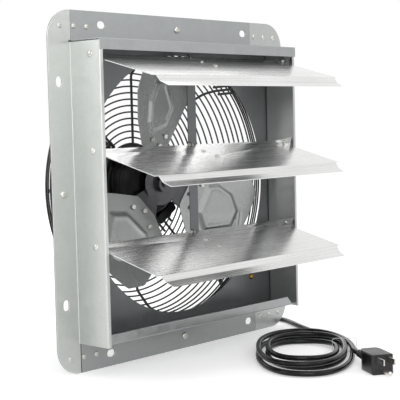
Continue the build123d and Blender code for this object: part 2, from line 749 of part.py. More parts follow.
for angle in diagonal_rib_angles:
    for start, end in (inner_stub_reach, outer_stub_reach):
        for offset_side in (-stub_spacing, stub_spacing):
            wire = Pos((start + end) / 2, guard_face, offset_side) * Box(end - start, rib_wire, rib_wire)
            stub_wires.append(around(wire, angle))
save("guard_stub_wires", *stub_wires)

# Screws that hold the guard's eyes
eye_stack = flange_stack + rib_wire
guard_screws = []
guard_nuts = []
for x, z in guard_screw_places():
    shank = bar((x, 0, z), (x, eye_stack + guard_nut_height, z), guard_screw_radius, screw_sides)
    head = bar((x, -guard_screw_head_height, z), (x, 0, z), guard_screw_head_radius, rivet_sides)
    guard_screws.append(shank + head)
    nut = bar((x, eye_stack, z), (x, eye_stack + guard_nut_height, z), guard_nut_radius, rivet_sides)
    guard_nuts.append(nut - bar((x, 0, z), (x, guard_depth, z), guard_screw_radius + running_clearance, screw_sides))
save("guard_screws", *guard_screws)
save("guard_nuts", *guard_nuts)

# Motor housing: front bell, ribbed shell and rear bell
bell_bore = bearing_radius + running_clearance
boss_front = motor_front - bell_boss_length
front_bearing_front = motor_front + bearing_wall - bell_boss_length
front_seat_rear = front_bearing_front + bearing_width
shaft_hole = shaft_radius + piece_gap
motor_front_bell = faceted([
    (0, boss_front), (bell_boss_radius, boss_front), (bell_boss_radius, motor_front),
    (bell_shoulder_radius, motor_front), (motor_radius, motor_front + motor_radius - bell_shoulder_radius),
    (motor_radius, motor_shell_front), (motor_radius - motor_wall, motor_shell_front),
    (motor_radius - motor_wall, motor_front + motor_radius - bell_shoulder_radius + motor_wall),
    (bell_shoulder_radius, motor_front + 2 * motor_wall), (bell_boss_radius, motor_front + 2 * motor_wall),
    (bell_boss_radius, front_seat_rear), (0, front_seat_rear)], motor_sides)
rear_bearing_rear = motor_rear - bearing_wall
rear_bearing_front = rear_bearing_rear - bearing_width
rear_shoulder = motor_rear - (motor_radius - bell_shoulder_radius)
motor_rear_bell = faceted([
    (0, motor_rear), (bell_shoulder_radius, motor_rear), (motor_radius, rear_shoulder),
    (motor_radius, motor_shell_rear), (motor_radius - motor_wall, motor_shell_rear),
    (motor_radius - motor_wall, rear_shoulder - motor_wall), (bell_shoulder_radius, motor_rear - 2 * motor_wall),
    (bell_boss_radius, motor_rear - 2 * motor_wall), (bell_boss_radius, rear_bearing_front),
    (0, rear_bearing_front)], motor_sides)


def disc(radius, front, rear, sides):
    """A many-sided disc about the axis."""
    return faceted([(0, front), (radius, front), (radius, rear), (0, rear)], sides)


motor_front_bell -= disc(bell_bore, front_bearing_front, motor_rear, small_sides)
motor_front_bell -= disc(shaft_hole, 0, motor_rear, small_sides)
motor_rear_bell -= disc(bell_bore, 0, rear_bearing_rear, small_sides)
shell_profile = [(motor_radius - motor_wall, motor_shell_front), (motor_radius, motor_shell_front)]
for place in motor_rib_places:
    shell_profile += [(motor_radius, place - motor_rib_width / 2),
                      (motor_radius + motor_rib_height, place - motor_rib_width / 2),
                      (motor_radius + motor_rib_height, place + motor_rib_width / 2),
                      (motor_radius, place + motor_rib_width / 2)]
shell_profile += [(motor_radius, motor_shell_rear), (motor_radius - motor_wall, motor_shell_rear)]
mount_front = guard_depth + rib_wire
mount_rear = mount_front + mount_plate_sheet
motor_ear = Pos((motor_ear_radius + motor_radius) / 2 - motor_wall / 2, mount_rear + motor_ear_sheet / 2, 0)
motor_ear = motor_ear * Box(motor_ear_radius - motor_radius + motor_wall, motor_ear_sheet, motor_ear_width)
motor_ear -= bar((motor_ear_screw_circle, 0, 0), (motor_ear_screw_circle, motor_rear, 0),
                 motor_ear_screw_radius + running_clearance, rivet_sides)
for angle in diagonal_rib_angles:
    motor_rear_bell += around(motor_ear, angle)
pad = Pos((gland_pad_start + gland_start) / 2, gland_depth, -gland_drop)
pad_block = pad * Box(gland_start - gland_pad_start, gland_pad, gland_pad)
motor_rear_bell += pad_block - bar((0, 0, 0), (0, motor_rear, 0), motor_radius - motor_wall)
motor_rear_bell -= bar((0, gland_depth, -gland_drop), (gland_start + cut_overrun, gland_depth, -gland_drop), cord_radius)
save("motor_front_bell", motor_front_bell)
save("motor_rear_bell", motor_rear_bell)
save("motor_shell", faceted(shell_profile, motor_sides))
bearing_bore = shaft_radius + running_clearance
bearings = [faceted([(bearing_bore, front), (bearing_radius, front), (bearing_radius, front + bearing_width),
                     (bearing_bore, front + bearing_width)], small_sides)
            for front in (front_bearing_front, rear_bearing_front)]
save("motor_bearings", *bearings)

# Stator with its windings, and the rotor core on the shaft
stator_radius = motor_radius - motor_wall - running_clearance
stator = faceted([(stator_bore, stator_front), (stator_radius, stator_front),
                  (stator_radius, stator_rear), (stator_bore, stator_rear)], motor_sides)
save("motor_stator", stator)
winding_inside = stator_bore + motor_wall
windings = []
for inner_face, outer_face in ((stator_front, stator_front - winding_overhang),
                               (stator_rear, stator_rear + winding_overhang)):
    windings.append(faceted([(winding_inside, inner_face), (winding_radius - winding_overhang, inner_face),
                             (winding_radius - winding_overhang, outer_face), (winding_inside, outer_face)],
                            small_sides))
save("motor_windings", *windings)
save("motor_rotor_core", faceted([(shaft_radius, stator_front), (rotor_core_radius, stator_front),
                                  (rotor_core_radius, stator_rear), (shaft_radius, stator_rear)], motor_sides))

# Mount plate: a ring with four lugs, screwed to the guard's diagonal ribs and to the motor's ears
mount_outline = RegularPolygon(mount_ring_radius, motor_sides, major_radius=False, rotation=180 / motor_sides)
lug_middle = (mount_lug_reach + motor_radius) / 2
for angle in diagonal_rib_angles:
    x, z = polar(lug_middle, angle)
    mount_outline += Pos(x, z) * Rot(0, 0, angle) * Rectangle(mount_lug_reach - motor_radius, mount_lug_width)
mount_outline -= RegularPolygon(motor_radius + motor_rib_height + piece_gap, motor_sides, major_radius=False,
                                rotation=180 / motor_sides)
mount_plate = sheet_at(mount_outline, mount_front, mount_plate_sheet)
clamp_front = guard_depth - rib_wire - clamp_bar_sheet
mount_screws = []
clamp_bars = []
motor_ear_screws = []
for angle in diagonal_rib_angles:
    clamp = Pos(mount_screw_along, clamp_front + clamp_bar_sheet / 2, 0)
    clamp = clamp * Box(clamp_bar_length, clamp_bar_sheet, mount_lug_width)
    for side in (-1, 1):
        z = side * mount_screw_offset
        hole = bar((mount_screw_along, 0, z), (mount_screw_along, motor_rear, z),
                   mount_screw_radius + running_clearance, rivet_sides)
        clamp -= hole
        mount_plate -= around(hole, angle)
        screw = rivet((mount_screw_along, mount_rear, z), (0, -1, 0), mount_screw_radius, mount_rear - clamp_front,
                      mount_screw_head_radius, mount_screw_head_height)
        mount_screws.append(around(screw, angle))
    clamp_bars.append(around(clamp, angle))
    x = motor_ear_screw_circle
    ear_screw = rivet((x, mount_rear + motor_ear_sheet, 0), (0, -1, 0), motor_ear_screw_radius,
                      motor_ear_sheet + mount_plate_sheet, mount_screw_head_radius, mount_screw_head_height)
    motor_ear_screws.append(around(ear_screw, angle))
    mount_plate -= around(bar((x, 0, 0), (x, motor_rear, 0), motor_ear_screw_radius + running_clearance, rivet_sides),
                          angle)
save("motor_mount_plate", mount_plate)
save("mount_screws", *mount_screws, *motor_ear_screws)
save("mount_clamp_bars", *clamp_bars)

# Wiring box on the motor's lower right side
box_inside = motor_radius + motor_rib_height / 2
wiring_box = Pos(box_inside + wiring_box_height / 2, wiring_box_front + wiring_box_length / 2, 0)
wiring_box = wiring_box * Box(wiring_box_height, wiring_box_length, wiring_box_width)
wiring_box = fillet(wiring_box.edges().filter_by(Axis.Y), wiring_box_corner)
shell_room = motor_radius + motor_rib_height + running_clearance
wiring_box -= around(faceted([(0, 0), (shell_room, 0), (shell_room, motor_rear), (0, motor_rear)], motor_sides),
                     -wiring_box_angle)
save("motor_wiring_box", around(wiring_box, wiring_box_angle))

# Cord gland on the motor's rear bell
gland_profile = [(0, 0), (gland_flange_radius, 0), (gland_flange_radius, gland_flange_length),
                 (gland_root_radius, gland_flange_length), (gland_tip_radius, gland_length), (0, gland_length)]
save("cord_gland", Pos(gland_start, gland_depth, -gland_drop) * Rot(0, 0, -90) * faceted(gland_profile, small_sides))


# Cord from the gland to the coil: straight runs joined by arcs as large as the runs allow
def corner_radii(points):
    """The radius at each inner corner: 0.45 of the shorter run over the tangent of half the turn."""
    share_of_run = 0.45
    radii = []
    for before, corner, after in zip(points, points[1:], points[2:]):
        first, second = corner - before, after - corner
        half_turn = math.radians(first.get_angle(second)) / 2
        radii.append(share_of_run * min(first.length, second.length) / math.tan(half_turn))
    return radii


def cord_section(start, direction):
    """The cord's section, many-sided so that the swept faces stay few."""
    upright = Plane(origin=start, z_dir=direction)
    return upright * RegularPolygon(cord_radius, cord_sides)


route = [Vector(*point) for point in cord_route]
radii = corner_radii(route)
cord_path = FilletPolyline(*route, radius=radii)
power_cord = sweep(cord_section(route[0], route[1] - route[0]), path=cord_path)
print("cord radii", [round(radius, 1) for radius in radii])
section_area = cord_section(route[0], route[1] - route[0]).area
print("cord length", round(cord_path.length, 1), "volume share", power_cord.volume / section_area / cord_path.length)
save("power_cord", power_cord)

# Coil: two turns spiral in on the floor, two spiral out on top, all one cord
coil_lift = tie_band_thickness + tie_band_gap
coil_low = floor_height + coil_lift + cord_radius
coil_high = coil_low + cord_diameter + coil_layer_gap
coil_turn = math.radians(coil_angle)
away = Vector(math.cos(coil_turn), math.sin(coil_turn), 0)
rightward = Vector(math.sin(coil_turn), -math.cos(coil_turn), 0)


def coil_place(right, far, height):
    return Vector(coil_x, coil_y, height) + rightward * right + away * far


def coil_point(quarter):
    """The coil's place at each quarter turn: right, near, left and far side by turns."""
    middle = coil_quarters / 2
    inward = 1 - abs(quarter - middle) / middle
    climb = min(max((quarter - middle + 1) / 2, 0), 1)
    height = coil_low + (coil_high - coil_low) * climb
    side = quarter % 4
    if side == 0:
        return coil_place(coil_right - coil_right_step * inward, 0, height)
    if side == 1:
        return coil_place(0, coil_near_step * inward - coil_near, height)
    if side == 2:
        return coil_place(coil_left_step * inward - coil_left, 0, height)
    return coil_place(0, coil_far - coil_far_step * inward, height)


def coil_tangent(quarter):
    """The cord's direction at each quarter turn, clockwise seen from above."""
    flat = (away * -1, rightward * -1, away, rightward)[quarter % 4]
    if quarter == coil_quarters / 2:
        rise = coil_high - coil_low
        run = (coil_point(quarter + 1) - coil_point(quarter - 1)).length
        return (flat + Vector(0, 0, rise / run)).normalized()
    return flat


def biarc(start, start_way, end, end_way):
    """Two arcs from start to end that keep both directions and join smoothly."""
    span = end - start
    ways = start_way + end_way
    bend = 2 * (1 - start_way.dot(end_way))
    along = span.dot(ways)
    reach = (-along + math.sqrt(along ** 2 + bend * span.dot(span))) / bend
    joint = (start + start_way * reach + end - end_way * reach) / 2
    joint_way = end - end_way * reach - start - start_way * reach
    first = TangentArc(start, joint, tangent=start_way)
    return [first, TangentArc(joint, end, tangent=joint_way.normalized())]


coil_start = coil_point(0)
lead_in = coil_start + away * cord_diameter
coil_edges = [Line(lead_in, coil_start)]
for quarter in range(coil_quarters - 1):
    coil_edges += biarc(coil_point(quarter), coil_tangent(quarter), coil_point(quarter + 1), coil_tangent(quarter + 1))
plug_way = (away * -1).rotate(Axis.Z, plug_turn)
last_bend = coil_place(coil_end_right, coil_end_far, coil_high)
coil_edges += biarc(coil_point(coil_quarters - 1), coil_tangent(coil_quarters - 1), last_bend, away * -1)
bend_turn = math.radians(plug_turn)
coil_end = last_bend + rightward * plug_bend_radius * (1 - math.cos(bend_turn))
coil_end -= away * plug_bend_radius * math.sin(bend_turn)
coil_edges.append(TangentArc(last_bend, coil_end, tangent=away * -1))
plug_start = coil_end + plug_way * cord_diameter
coil_edges.append(Line(coil_end, plug_start))
coil_wire = Wire([edge for line in coil_edges for edge in line.edges()])
cord_coil = sweep(cord_section(lead_in, away * -1), path=coil_wire)
print("coil length", round(coil_wire.length, 1), "start", lead_in, "plug", plug_start, "way", plug_way)
print("coil volume share", cord_coil.volume / section_area / coil_wire.length)
save("cord_coil", cord_coil)

# Least gap of the coil to itself, measured on points along its middle line
step_length = cord_radius
stations = int(coil_wire.length / step_length)
middle_points = [coil_wire.position_at(number / stations) for number in range(stations + 1)]
apart = int(math.pi * cord_diameter * 2 / step_length)
least_gap = min((middle_points[i] - middle_points[j]).length - cord_diameter
                for i in range(stations + 1) for j in range(i + apart, stations + 1))
print("least gap of the coil to itself", round(least_gap, 2))

# Thin band that ties the coil's right side together
band_left = coil_right - coil_right_step - cord_radius - tie_band_play
band_right = max(coil_right, coil_end_right) + cord_radius + tie_band_play
band_low = floor_height
band_high = coil_high + cord_radius + tie_band_play + tie_band_thickness
band_section = Plane(origin=coil_place(0, tie_band_place, 0), x_dir=rightward, z_dir=away)
band_middle = ((band_left + band_right) / 2, (band_low + band_high) / 2)
band_outer = Rectangle(band_right - band_left + 2 * tie_band_thickness, band_high - band_low)
band_outer = chamfer(band_outer.vertices(), tie_band_corner)
band_inner = offset(band_outer, -tie_band_thickness, kind=Kind.INTERSECTION)
band_up = 1 if band_section.y_dir.Z > 0 else -1
cord_tie = extrude(band_section * (Pos(band_middle[0], band_up * band_middle[1]) * (band_outer - band_inner)),
                   tie_band_width)
save("cord_tie", cord_tie)

# Brass earth screw in the orifice panel, with its nut behind
earth_screw = rivet((earth_screw_x, steel_sheet, earth_screw_z), (0, 1, 0), earth_screw_radius,
                    steel_sheet, earth_screw_head_radius, guard_screw_head_height)
earth_screw += bar((earth_screw_x, flange_stack, earth_screw_z),
                   (earth_screw_x, flange_stack + guard_nut_height, earth_screw_z), earth_screw_head_radius, rivet_sides)
save("earth_screw", earth_screw)

# Plug: ribbed strain relief, body, two flat prongs and the round earth pin
relief_profile = [(0, 0), (relief_tip_radius, 0)]
rib_step = relief_length / relief_ribs
for number in range(relief_ribs):
    outer = relief_tip_radius + (relief_root_radius - relief_tip_radius) * (number + 0.5) / relief_ribs
    start = number * rib_step
    relief_profile += [(outer, start + rib_step / 2), (outer - relief_groove, start + rib_step)]
relief_profile += [(0, relief_length)]
plug_frame = Plane(origin=plug_start, x_dir=plug_way, z_dir=(0, 0, 1))
save("plug_strain_relief", plug_frame * (Rot(0, 0, -90) * faceted(relief_profile, small_sides)))
plug_half_height = coil_high - floor_height - tie_band_gap
plug_outline = make_face(Polyline((relief_length, -plug_rear_width / 2),
                                  (relief_length + plug_taper_length, -plug_width / 2),
                                  (relief_length + plug_length, -plug_width / 2),
                                  (relief_length + plug_length, plug_width / 2),
                                  (relief_length + plug_taper_length, plug_width / 2),
                                  (relief_length, plug_rear_width / 2), close=True))
plug_body = extrude(plug_outline, plug_half_height, both=True)
plug_body = fillet(plug_body.edges().filter_by(Axis.X) + plug_body.edges().filter_by(Axis.Z), plug_fillet)
save("plug_body", plug_frame * plug_body)
prong_height = plug_half_height * 2 * prong_height_share
prongs = []
for side in (-1, 1):
    prong = Pos(relief_length + plug_length + prong_length / 2, side * prong_spacing / 2, prong_height)
    prongs.append(plug_frame * (prong * Box(prong_length, prong_thickness, prong_width)))
save("plug_prongs", *prongs)
pin_start = (relief_length + plug_length, 0, prong_height - ground_pin_below)
pin_end = (relief_length + plug_length + ground_pin_length, 0, prong_height - ground_pin_below)
save("plug_earth_pin", plug_frame * bar(pin_start, pin_end, ground_pin_radius, small_sides))
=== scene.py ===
import math

import bmesh
import bpy
from mathutils import Matrix, Vector
from mathutils.geometry import delaunay_2d_cdt


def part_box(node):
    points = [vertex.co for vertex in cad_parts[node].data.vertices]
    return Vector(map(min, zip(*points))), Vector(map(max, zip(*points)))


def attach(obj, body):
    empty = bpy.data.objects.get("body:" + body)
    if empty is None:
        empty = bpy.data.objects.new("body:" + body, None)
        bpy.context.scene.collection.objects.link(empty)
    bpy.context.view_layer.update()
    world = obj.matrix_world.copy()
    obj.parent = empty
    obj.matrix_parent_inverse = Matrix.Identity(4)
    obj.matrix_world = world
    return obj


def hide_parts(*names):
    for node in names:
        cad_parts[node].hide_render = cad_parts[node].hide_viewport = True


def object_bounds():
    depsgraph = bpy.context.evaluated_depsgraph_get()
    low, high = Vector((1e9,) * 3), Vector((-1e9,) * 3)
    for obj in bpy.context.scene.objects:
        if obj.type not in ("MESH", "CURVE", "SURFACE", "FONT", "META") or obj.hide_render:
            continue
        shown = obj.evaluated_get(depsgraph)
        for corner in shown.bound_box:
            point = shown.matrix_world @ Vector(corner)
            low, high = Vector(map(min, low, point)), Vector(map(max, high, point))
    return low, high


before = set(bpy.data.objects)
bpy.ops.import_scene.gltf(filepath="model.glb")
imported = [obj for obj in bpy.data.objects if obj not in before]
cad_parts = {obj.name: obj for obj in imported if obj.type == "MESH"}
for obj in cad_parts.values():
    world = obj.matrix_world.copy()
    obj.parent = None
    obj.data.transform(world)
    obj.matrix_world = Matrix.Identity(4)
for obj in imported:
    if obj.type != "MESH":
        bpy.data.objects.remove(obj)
cad_low, cad_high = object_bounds()
scene = bpy.context.scene


# The studio: a pale floor under the fan, a white surround, and five large soft lamps,
# with the camera at the left front, a little above the fan's axis.
camera_place = Vector((-0.9964, -0.9468, 0.0794))
camera_yaw, camera_pitch, camera_roll = -0.828047, -0.0722389, 0.0245434
camera_lens = 100.01
sensor_width = 36.0
white_color = (1, 1, 1, 1)
surround_white, surround_grey = 1.0, 0.56
floor_reach = 6.0
floor_color = (0.80, 0.80, 0.80, 1)
floor_lift_near, floor_lift_far = 0.38, 0.62
lift_start, lift_end = 0.5, 1.8
lamp_table = (
    ("lamp_front_left", (-1.80, -1.70, 0.95), 1.5, 27.0),
    ("lamp_back_left", (-1.60, 1.40, 1.00), 1.2, 10.0),
    ("lamp_front", (0.60, -2.40, 1.20), 1.6, 9.0),
    ("lamp_back", (0.95, 1.50, 0.85), 1.6, 9.0),
    ("lamp_top", (0.10, -0.10, 2.10), 2.0, 10.0),
)


def show(name, data):
    """A new object in the scene."""
    made = bpy.data.objects.new(name, data)
    scene.collection.objects.link(made)
    return made


def emptied(owner):
    """A material or a world with its node tree, emptied."""
    owner.use_nodes = True
    owner.node_tree.nodes.clear()
    return owner, owner.node_tree


def node(tree, kind, inputs=None, **properties):
    """Adds a node; an input given as a node or a socket is linked, any other value is set."""
    made = tree.nodes.new(kind)
    for name, value in properties.items():
        setattr(made, name, value)
    for name, value in (inputs or {}).items():
        if isinstance(value, bpy.types.Node):
            value = value.outputs[0]
        if isinstance(value, bpy.types.NodeSocket):
            tree.links.new(value, made.inputs[name])
        else:
            made.inputs[name].default_value = value
    return made


def calculated(tree, operation, *values):
    """A math node on the given values."""
    return node(tree, "ShaderNodeMath", dict(enumerate(values)), operation=operation)


def mapped(tree, value, low, high, start=0.0, end=1.0):
    """A value carried from the range of start and end to that of low and high."""
    inputs = {"Value": value, "From Min": start, "From Max": end, "To Min": low, "To Max": high}
    return node(tree, "ShaderNodeMapRange", inputs)


def directly_seen(tree):
    """One for camera, glossy and transmission rays, and zero for others."""
    ray = node(tree, "ShaderNodeLightPath").outputs
    seen = calculated(tree, "MAXIMUM", ray["Is Camera Ray"], ray["Is Glossy Ray"])
    return calculated(tree, "MAXIMUM", seen, ray["Is Transmission Ray"])


camera_data = bpy.data.cameras.new("photo_camera")
camera_data.lens = camera_lens
camera_data.sensor_width = sensor_width
camera = show("photo_camera", camera_data)
turned = Matrix.Rotation(camera_yaw, 4, "Z") @ Matrix.Rotation(camera_pitch, 4, "X")
turned = turned @ Matrix.Rotation(camera_roll, 4, "Y") @ Matrix.Rotation(math.radians(90), 4, "X")
camera.matrix_world = Matrix.Translation(camera_place) @ turned
scene.camera = camera
scene.view_settings.view_transform = "Standard"

scene.world, sky = emptied(bpy.data.worlds.new("white_surround"))
plain = node(sky, "ShaderNodeBackground", {"Color": white_color, "Strength": surround_grey})
white = node(sky, "ShaderNodeBackground", {"Color": white_color, "Strength": surround_white})
both = node(sky, "ShaderNodeMixShader", {0: directly_seen(sky), 1: plain, 2: white})
node(sky, "ShaderNodeOutputWorld", {"Surface": both})

for name, place, size, power in lamp_table:
    lamp_data = bpy.data.lights.new(name, "AREA")
    lamp_data.size = size
    lamp_data.energy = power
    lamp = show(name, lamp_data)
    lamp.location = place
    lamp.rotation_euler = (-Vector(place)).to_track_quat("-Z", "Y").to_euler()
    lamp.visible_camera = False

floor_mesh = bpy.data.meshes.new("studio_floor")
floor_mesh.from_pydata([(x * floor_reach, y * floor_reach, cad_low.z)
                        for x, y in ((-1, -1), (1, -1), (1, 1), (-1, 1))], [], [(0, 1, 2, 3)])
floor = show("studio_floor", floor_mesh)
floor_material, tree = emptied(bpy.data.materials.new("studio_floor"))
paint = node(tree, "ShaderNodeBsdfDiffuse", {"Color": floor_color})
place = node(tree, "ShaderNodeTexCoord").outputs["Object"]
reach = node(tree, "ShaderNodeVectorMath", {0: place}, operation="LENGTH").outputs["Value"]
rise = mapped(tree, reach, floor_lift_near, floor_lift_far, lift_start, lift_end)
lift = calculated(tree, "MULTIPLY", directly_seen(tree), rise)
glow = node(tree, "ShaderNodeEmission", {"Color": white_color, "Strength": lift})
total = node(tree, "ShaderNodeAddShader", {0: paint, 1: glow})
node(tree, "ShaderNodeOutputMaterial", {"Surface": total})
floor_mesh.materials.append(floor_material)


# The power cord: a round 6.5 mm three-core lead with a glossy black jacket. It leaves the
# motor, comes round the flange's lower right corner and lies in a loose coil of four turns.
cord_diameter = 0.0065
cord_route = [
    (0.064, 0.100, -0.015), (0.090, 0.100, -0.015), (0.115, 0.101, -0.025),
    (0.136, 0.101, -0.046), (0.149, 0.099, -0.073), (0.158, 0.096, -0.101),
    (0.165, 0.092, -0.131), (0.172, 0.086, -0.159), (0.182, 0.077, -0.181),
    (0.1945, 0.063, -0.196), (0.2055, 0.045, -0.2017), (0.2112, 0.026, -0.2017),
    (0.2095, 0.007, -0.2017), (0.201, -0.0105, -0.2017), (0.187, -0.034, -0.2017),
    (0.1715, -0.0615, -0.2017), (0.158, -0.088, -0.2016), (0.1485, -0.1175, -0.2014),
    (0.137, -0.146, -0.2011), (0.119, -0.1694, -0.2008), (0.0984, -0.1851, -0.2008),
]
coil_middle = Vector((0.058, -0.143, 0.0))
coil_angle = math.radians(37.3)
coil_right, coil_left, coil_near, coil_far = 0.058, 0.061, 0.131, 0.095
coil_right_step, coil_left_step, coil_near_step, coil_far_step = 0.019, 0.023, 0.062, 0.045
coil_quarters = 16
coil_points_per_quarter = 6
coil_last_steps = 6
coil_fullness = 0.87
coil_low, coil_high = -0.20075, -0.19355
coil_end_right, coil_end_far = 0.058, -0.030
plug_turn = math.radians(20.8)
plug_bend_radius = 0.040
cord_black = (0.006, 0.006, 0.007, 1)
grain_depth = 0.0002
noise_middle, noise_spread = 0.5, 4.0
noise_range = (0.3, 0.7)

away = Vector((math.cos(coil_angle), math.sin(coil_angle), 0))
rightward = Vector((math.sin(coil_angle), -math.cos(coil_angle), 0))
plug_way = Matrix.Rotation(plug_turn, 3, "Z") @ -away


def coil_place(right, far, height):
    """A place in the coil's own directions: to its right, away from the camera, and up."""
    return coil_middle + rightward * right + away * far + Vector((0, 0, height))


def coil_point(quarter):
    """The coil's line: two turns spiral in on the floor, climb, and two spiral out on top."""
    half = coil_quarters / 2
    inward = 1 - abs(quarter - half) / half
    climb = min(max((quarter - half + 1) / 2, 0), 1)
    right, left = coil_right - coil_right_step * inward, coil_left - coil_left_step * inward
    far, near = coil_far - coil_far_step * inward, coil_near - coil_near_step * inward
    side, depth = math.cos(quarter * math.pi / 2), -math.sin(quarter * math.pi / 2)
    side = math.copysign(abs(side) ** coil_fullness, side) * (right if side > 0 else left)
    depth = math.copysign(abs(depth) ** coil_fullness, depth) * (far if depth > 0 else near)
    return coil_place(side, depth, coil_low + (coil_high - coil_low) * climb)


def new_group(name, kind, inputs, outputs):
    """A node group and its inputs; each socket is given by label, type and start value."""
    group = bpy.data.node_groups.new(name, kind)
    for way, sockets in (("INPUT", inputs), ("OUTPUT", outputs)):
        for label, socket_type, *start in sockets:
            socket_type = "NodeSocket" + socket_type
            socket = group.interface.new_socket(name=label, in_out=way, socket_type=socket_type)
            if start:
                socket.default_value = start[0]
    return group, node(group, "NodeGroupInput").outputs


def shade_of(tree, textures, given, spread=1.0):
    """One, raised and lowered by each texture by its amount."""
    shade = 1.0
    for texture, label in textures:
        centred = calculated(tree, "SUBTRACT", texture, noise_middle)
        scaled = calculated(tree, "MULTIPLY", centred, given[label])
        shade = calculated(tree, "MULTIPLY_ADD", scaled, spread, shade)
    return shade


def noise(tree, place, scale, detail, **more):
    """The grey of a noise texture."""
    inputs = {"Vector": place, "Scale": scale, "Detail": detail, **more}
    return node(tree, "ShaderNodeTexNoise", inputs).outputs["Fac"]


def speckle_group():
    """Fine grains and broad clouds for jackets, paint and plated metal."""
    group, given = new_group(
        "grain_and_clouds", "ShaderNodeTree",
        (("Grain Scale", "Float", 900.0), ("Cloud Scale", "Float", 12.0),
         ("Grain Amount", "Float", 0.1), ("Cloud Amount", "Float", 0.1)),
        (("Shade", "Float"), ("Grain", "Float"), ("Cloud", "Float")))
    place = node(group, "ShaderNodeTexCoord").outputs["Object"]
    grain = noise(group, place, scale=given["Grain Scale"], detail=3.0)
    cloud = noise(group, place, scale=given["Cloud Scale"], detail=4.0)
    shade = shade_of(group, ((grain, "Grain Amount"), (cloud, "Cloud Amount")), given, noise_spread)
    node(group, "NodeGroupOutput", {"Shade": shade, "Grain": grain, "Cloud": cloud})
    return group


grain_and_clouds = speckle_group()


def bumped(tree, height, strength, distance, **more):
    """The normal of a surface that follows a height."""
    inputs = {"Height": height, "Strength": strength, "Distance": distance, **more}
    return node(tree, "ShaderNodeBump", inputs)


def surface_output(tree, color, shade, roughness, relief, **more):
    """A surface of colour times shade, with its gloss and relief."""
    tint = node(tree, "ShaderNodeMix", {0: 1.0, 6: color, 7: shade}, data_type="RGBA",
                blend_type="MULTIPLY").outputs[2]
    inputs = {"Base Color": tint, "Roughness": roughness, "Normal": relief, **more}
    node(tree, "ShaderNodeOutputMaterial",
         {"Surface": node(tree, "ShaderNodeBsdfPrincipled", inputs)})


def grained_material(name, color, roughness, metallic=0.0, grain=900.0, cloud=12.0,
                     grain_amount=0.1, cloud_amount=0.1, bump=0.1, spread=0.1, shine=0.5,
                     alpha=1.0):
    """A surface whose colour, gloss and relief vary by grain and cloud."""
    material, tree = emptied(bpy.data.materials.new(name))
    inputs = {"Grain Scale": grain, "Cloud Scale": cloud, "Grain Amount": grain_amount,
              "Cloud Amount": cloud_amount}
    marks = node(tree, "ShaderNodeGroup", inputs, node_tree=grain_and_clouds).outputs
    gloss = mapped(tree, marks["Cloud"], roughness - spread, roughness + spread, *noise_range)
    relief = bumped(tree, marks["Grain"], bump, grain_depth)
    surface_output(tree, color, marks["Shade"], gloss, relief, Metallic=metallic, Alpha=alpha,
                   **{"Specular IOR Level": shine})
    return material


def add_spline(curve, kind, places):
    """A line through the places, added to a curve."""
    line = curve.splines.new(kind)
    line.points.add(len(places) - 1)
    for place, point in zip(places, line.points):
        point.co = (*place, 1)
    return line


jacket = grained_material("cord_jacket", cord_black, 0.24, grain=600.0, cloud=25.0, shine=0.22,
                          grain_amount=0.15, cloud_amount=0.3, bump=0.06, spread=0.06)
cord_points = [Vector(point) for point in cord_route]
steps = (coil_quarters - 1) * coil_points_per_quarter
cord_points += [coil_point(step / coil_points_per_quarter) for step in range(1, steps + 1)]
far_side = coil_far - coil_far_step / (coil_quarters / 2)
for step in range(1, coil_last_steps + 1):
    turn = step / (coil_last_steps + 1) * math.pi / 2
    far = coil_end_far + (far_side - coil_end_far) * math.cos(turn)
    cord_points.append(coil_place(coil_end_right * math.sin(turn), far, coil_high))
last_bend = coil_place(coil_end_right, coil_end_far, coil_high)
coil_end = last_bend + rightward * plug_bend_radius * (1 - math.cos(plug_turn))
coil_end -= away * plug_bend_radius * math.sin(plug_turn)
plug_start = coil_end + plug_way * cord_diameter
cord_points += [last_bend, coil_end, plug_start]
cord_curve = bpy.data.curves.new("power_cord_jacket", "CURVE")
cord_curve.dimensions = "3D"
cord_curve.bevel_depth = cord_diameter / 2
cord_curve.bevel_resolution = 4
cord_curve.resolution_u = 6
cord_curve.use_fill_caps = True
line = add_spline(cord_curve, "NURBS", cord_points)
line.order_u = 3
line.use_endpoint_u = True
cord_curve.materials.append(jacket)
cord = show("power_cord_jacket", cord_curve)
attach(cord, "housing")
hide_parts("power_cord", "cord_coil")


# The plug: a moulded body with a ribbed strain relief, two flat prongs and a round earth
# pin of plated metal, all moulded onto the end of the cord.
relief_length, plug_body_length = 0.026, 0.038
relief_ribs = 6
relief_tip_radius, relief_root_radius = 0.0043, 0.0063
relief_groove = 0.0011
relief_shares = ((0.12, 0), (0.55, 0), (0.66, relief_groove), (0.97, relief_groove))
pin_length, pin_slimness = 0.0204, 0.98
pin_tip = ((1, 1), (0.4, 0.86), (0.1, 0.5), (0, 0))
plated_color = (0.62, 0.60, 0.56, 1)
weld_distance, flat_angle = 2e-6, math.radians(0.4)
smooth_angle, rounding_angle = math.radians(38), math.radians(32)


def mesh_from(made, name):
    """An edit mesh as a plain mesh."""
    mesh = bpy.data.meshes.new(name)
    made.to_mesh(mesh)
    made.free()
    return mesh


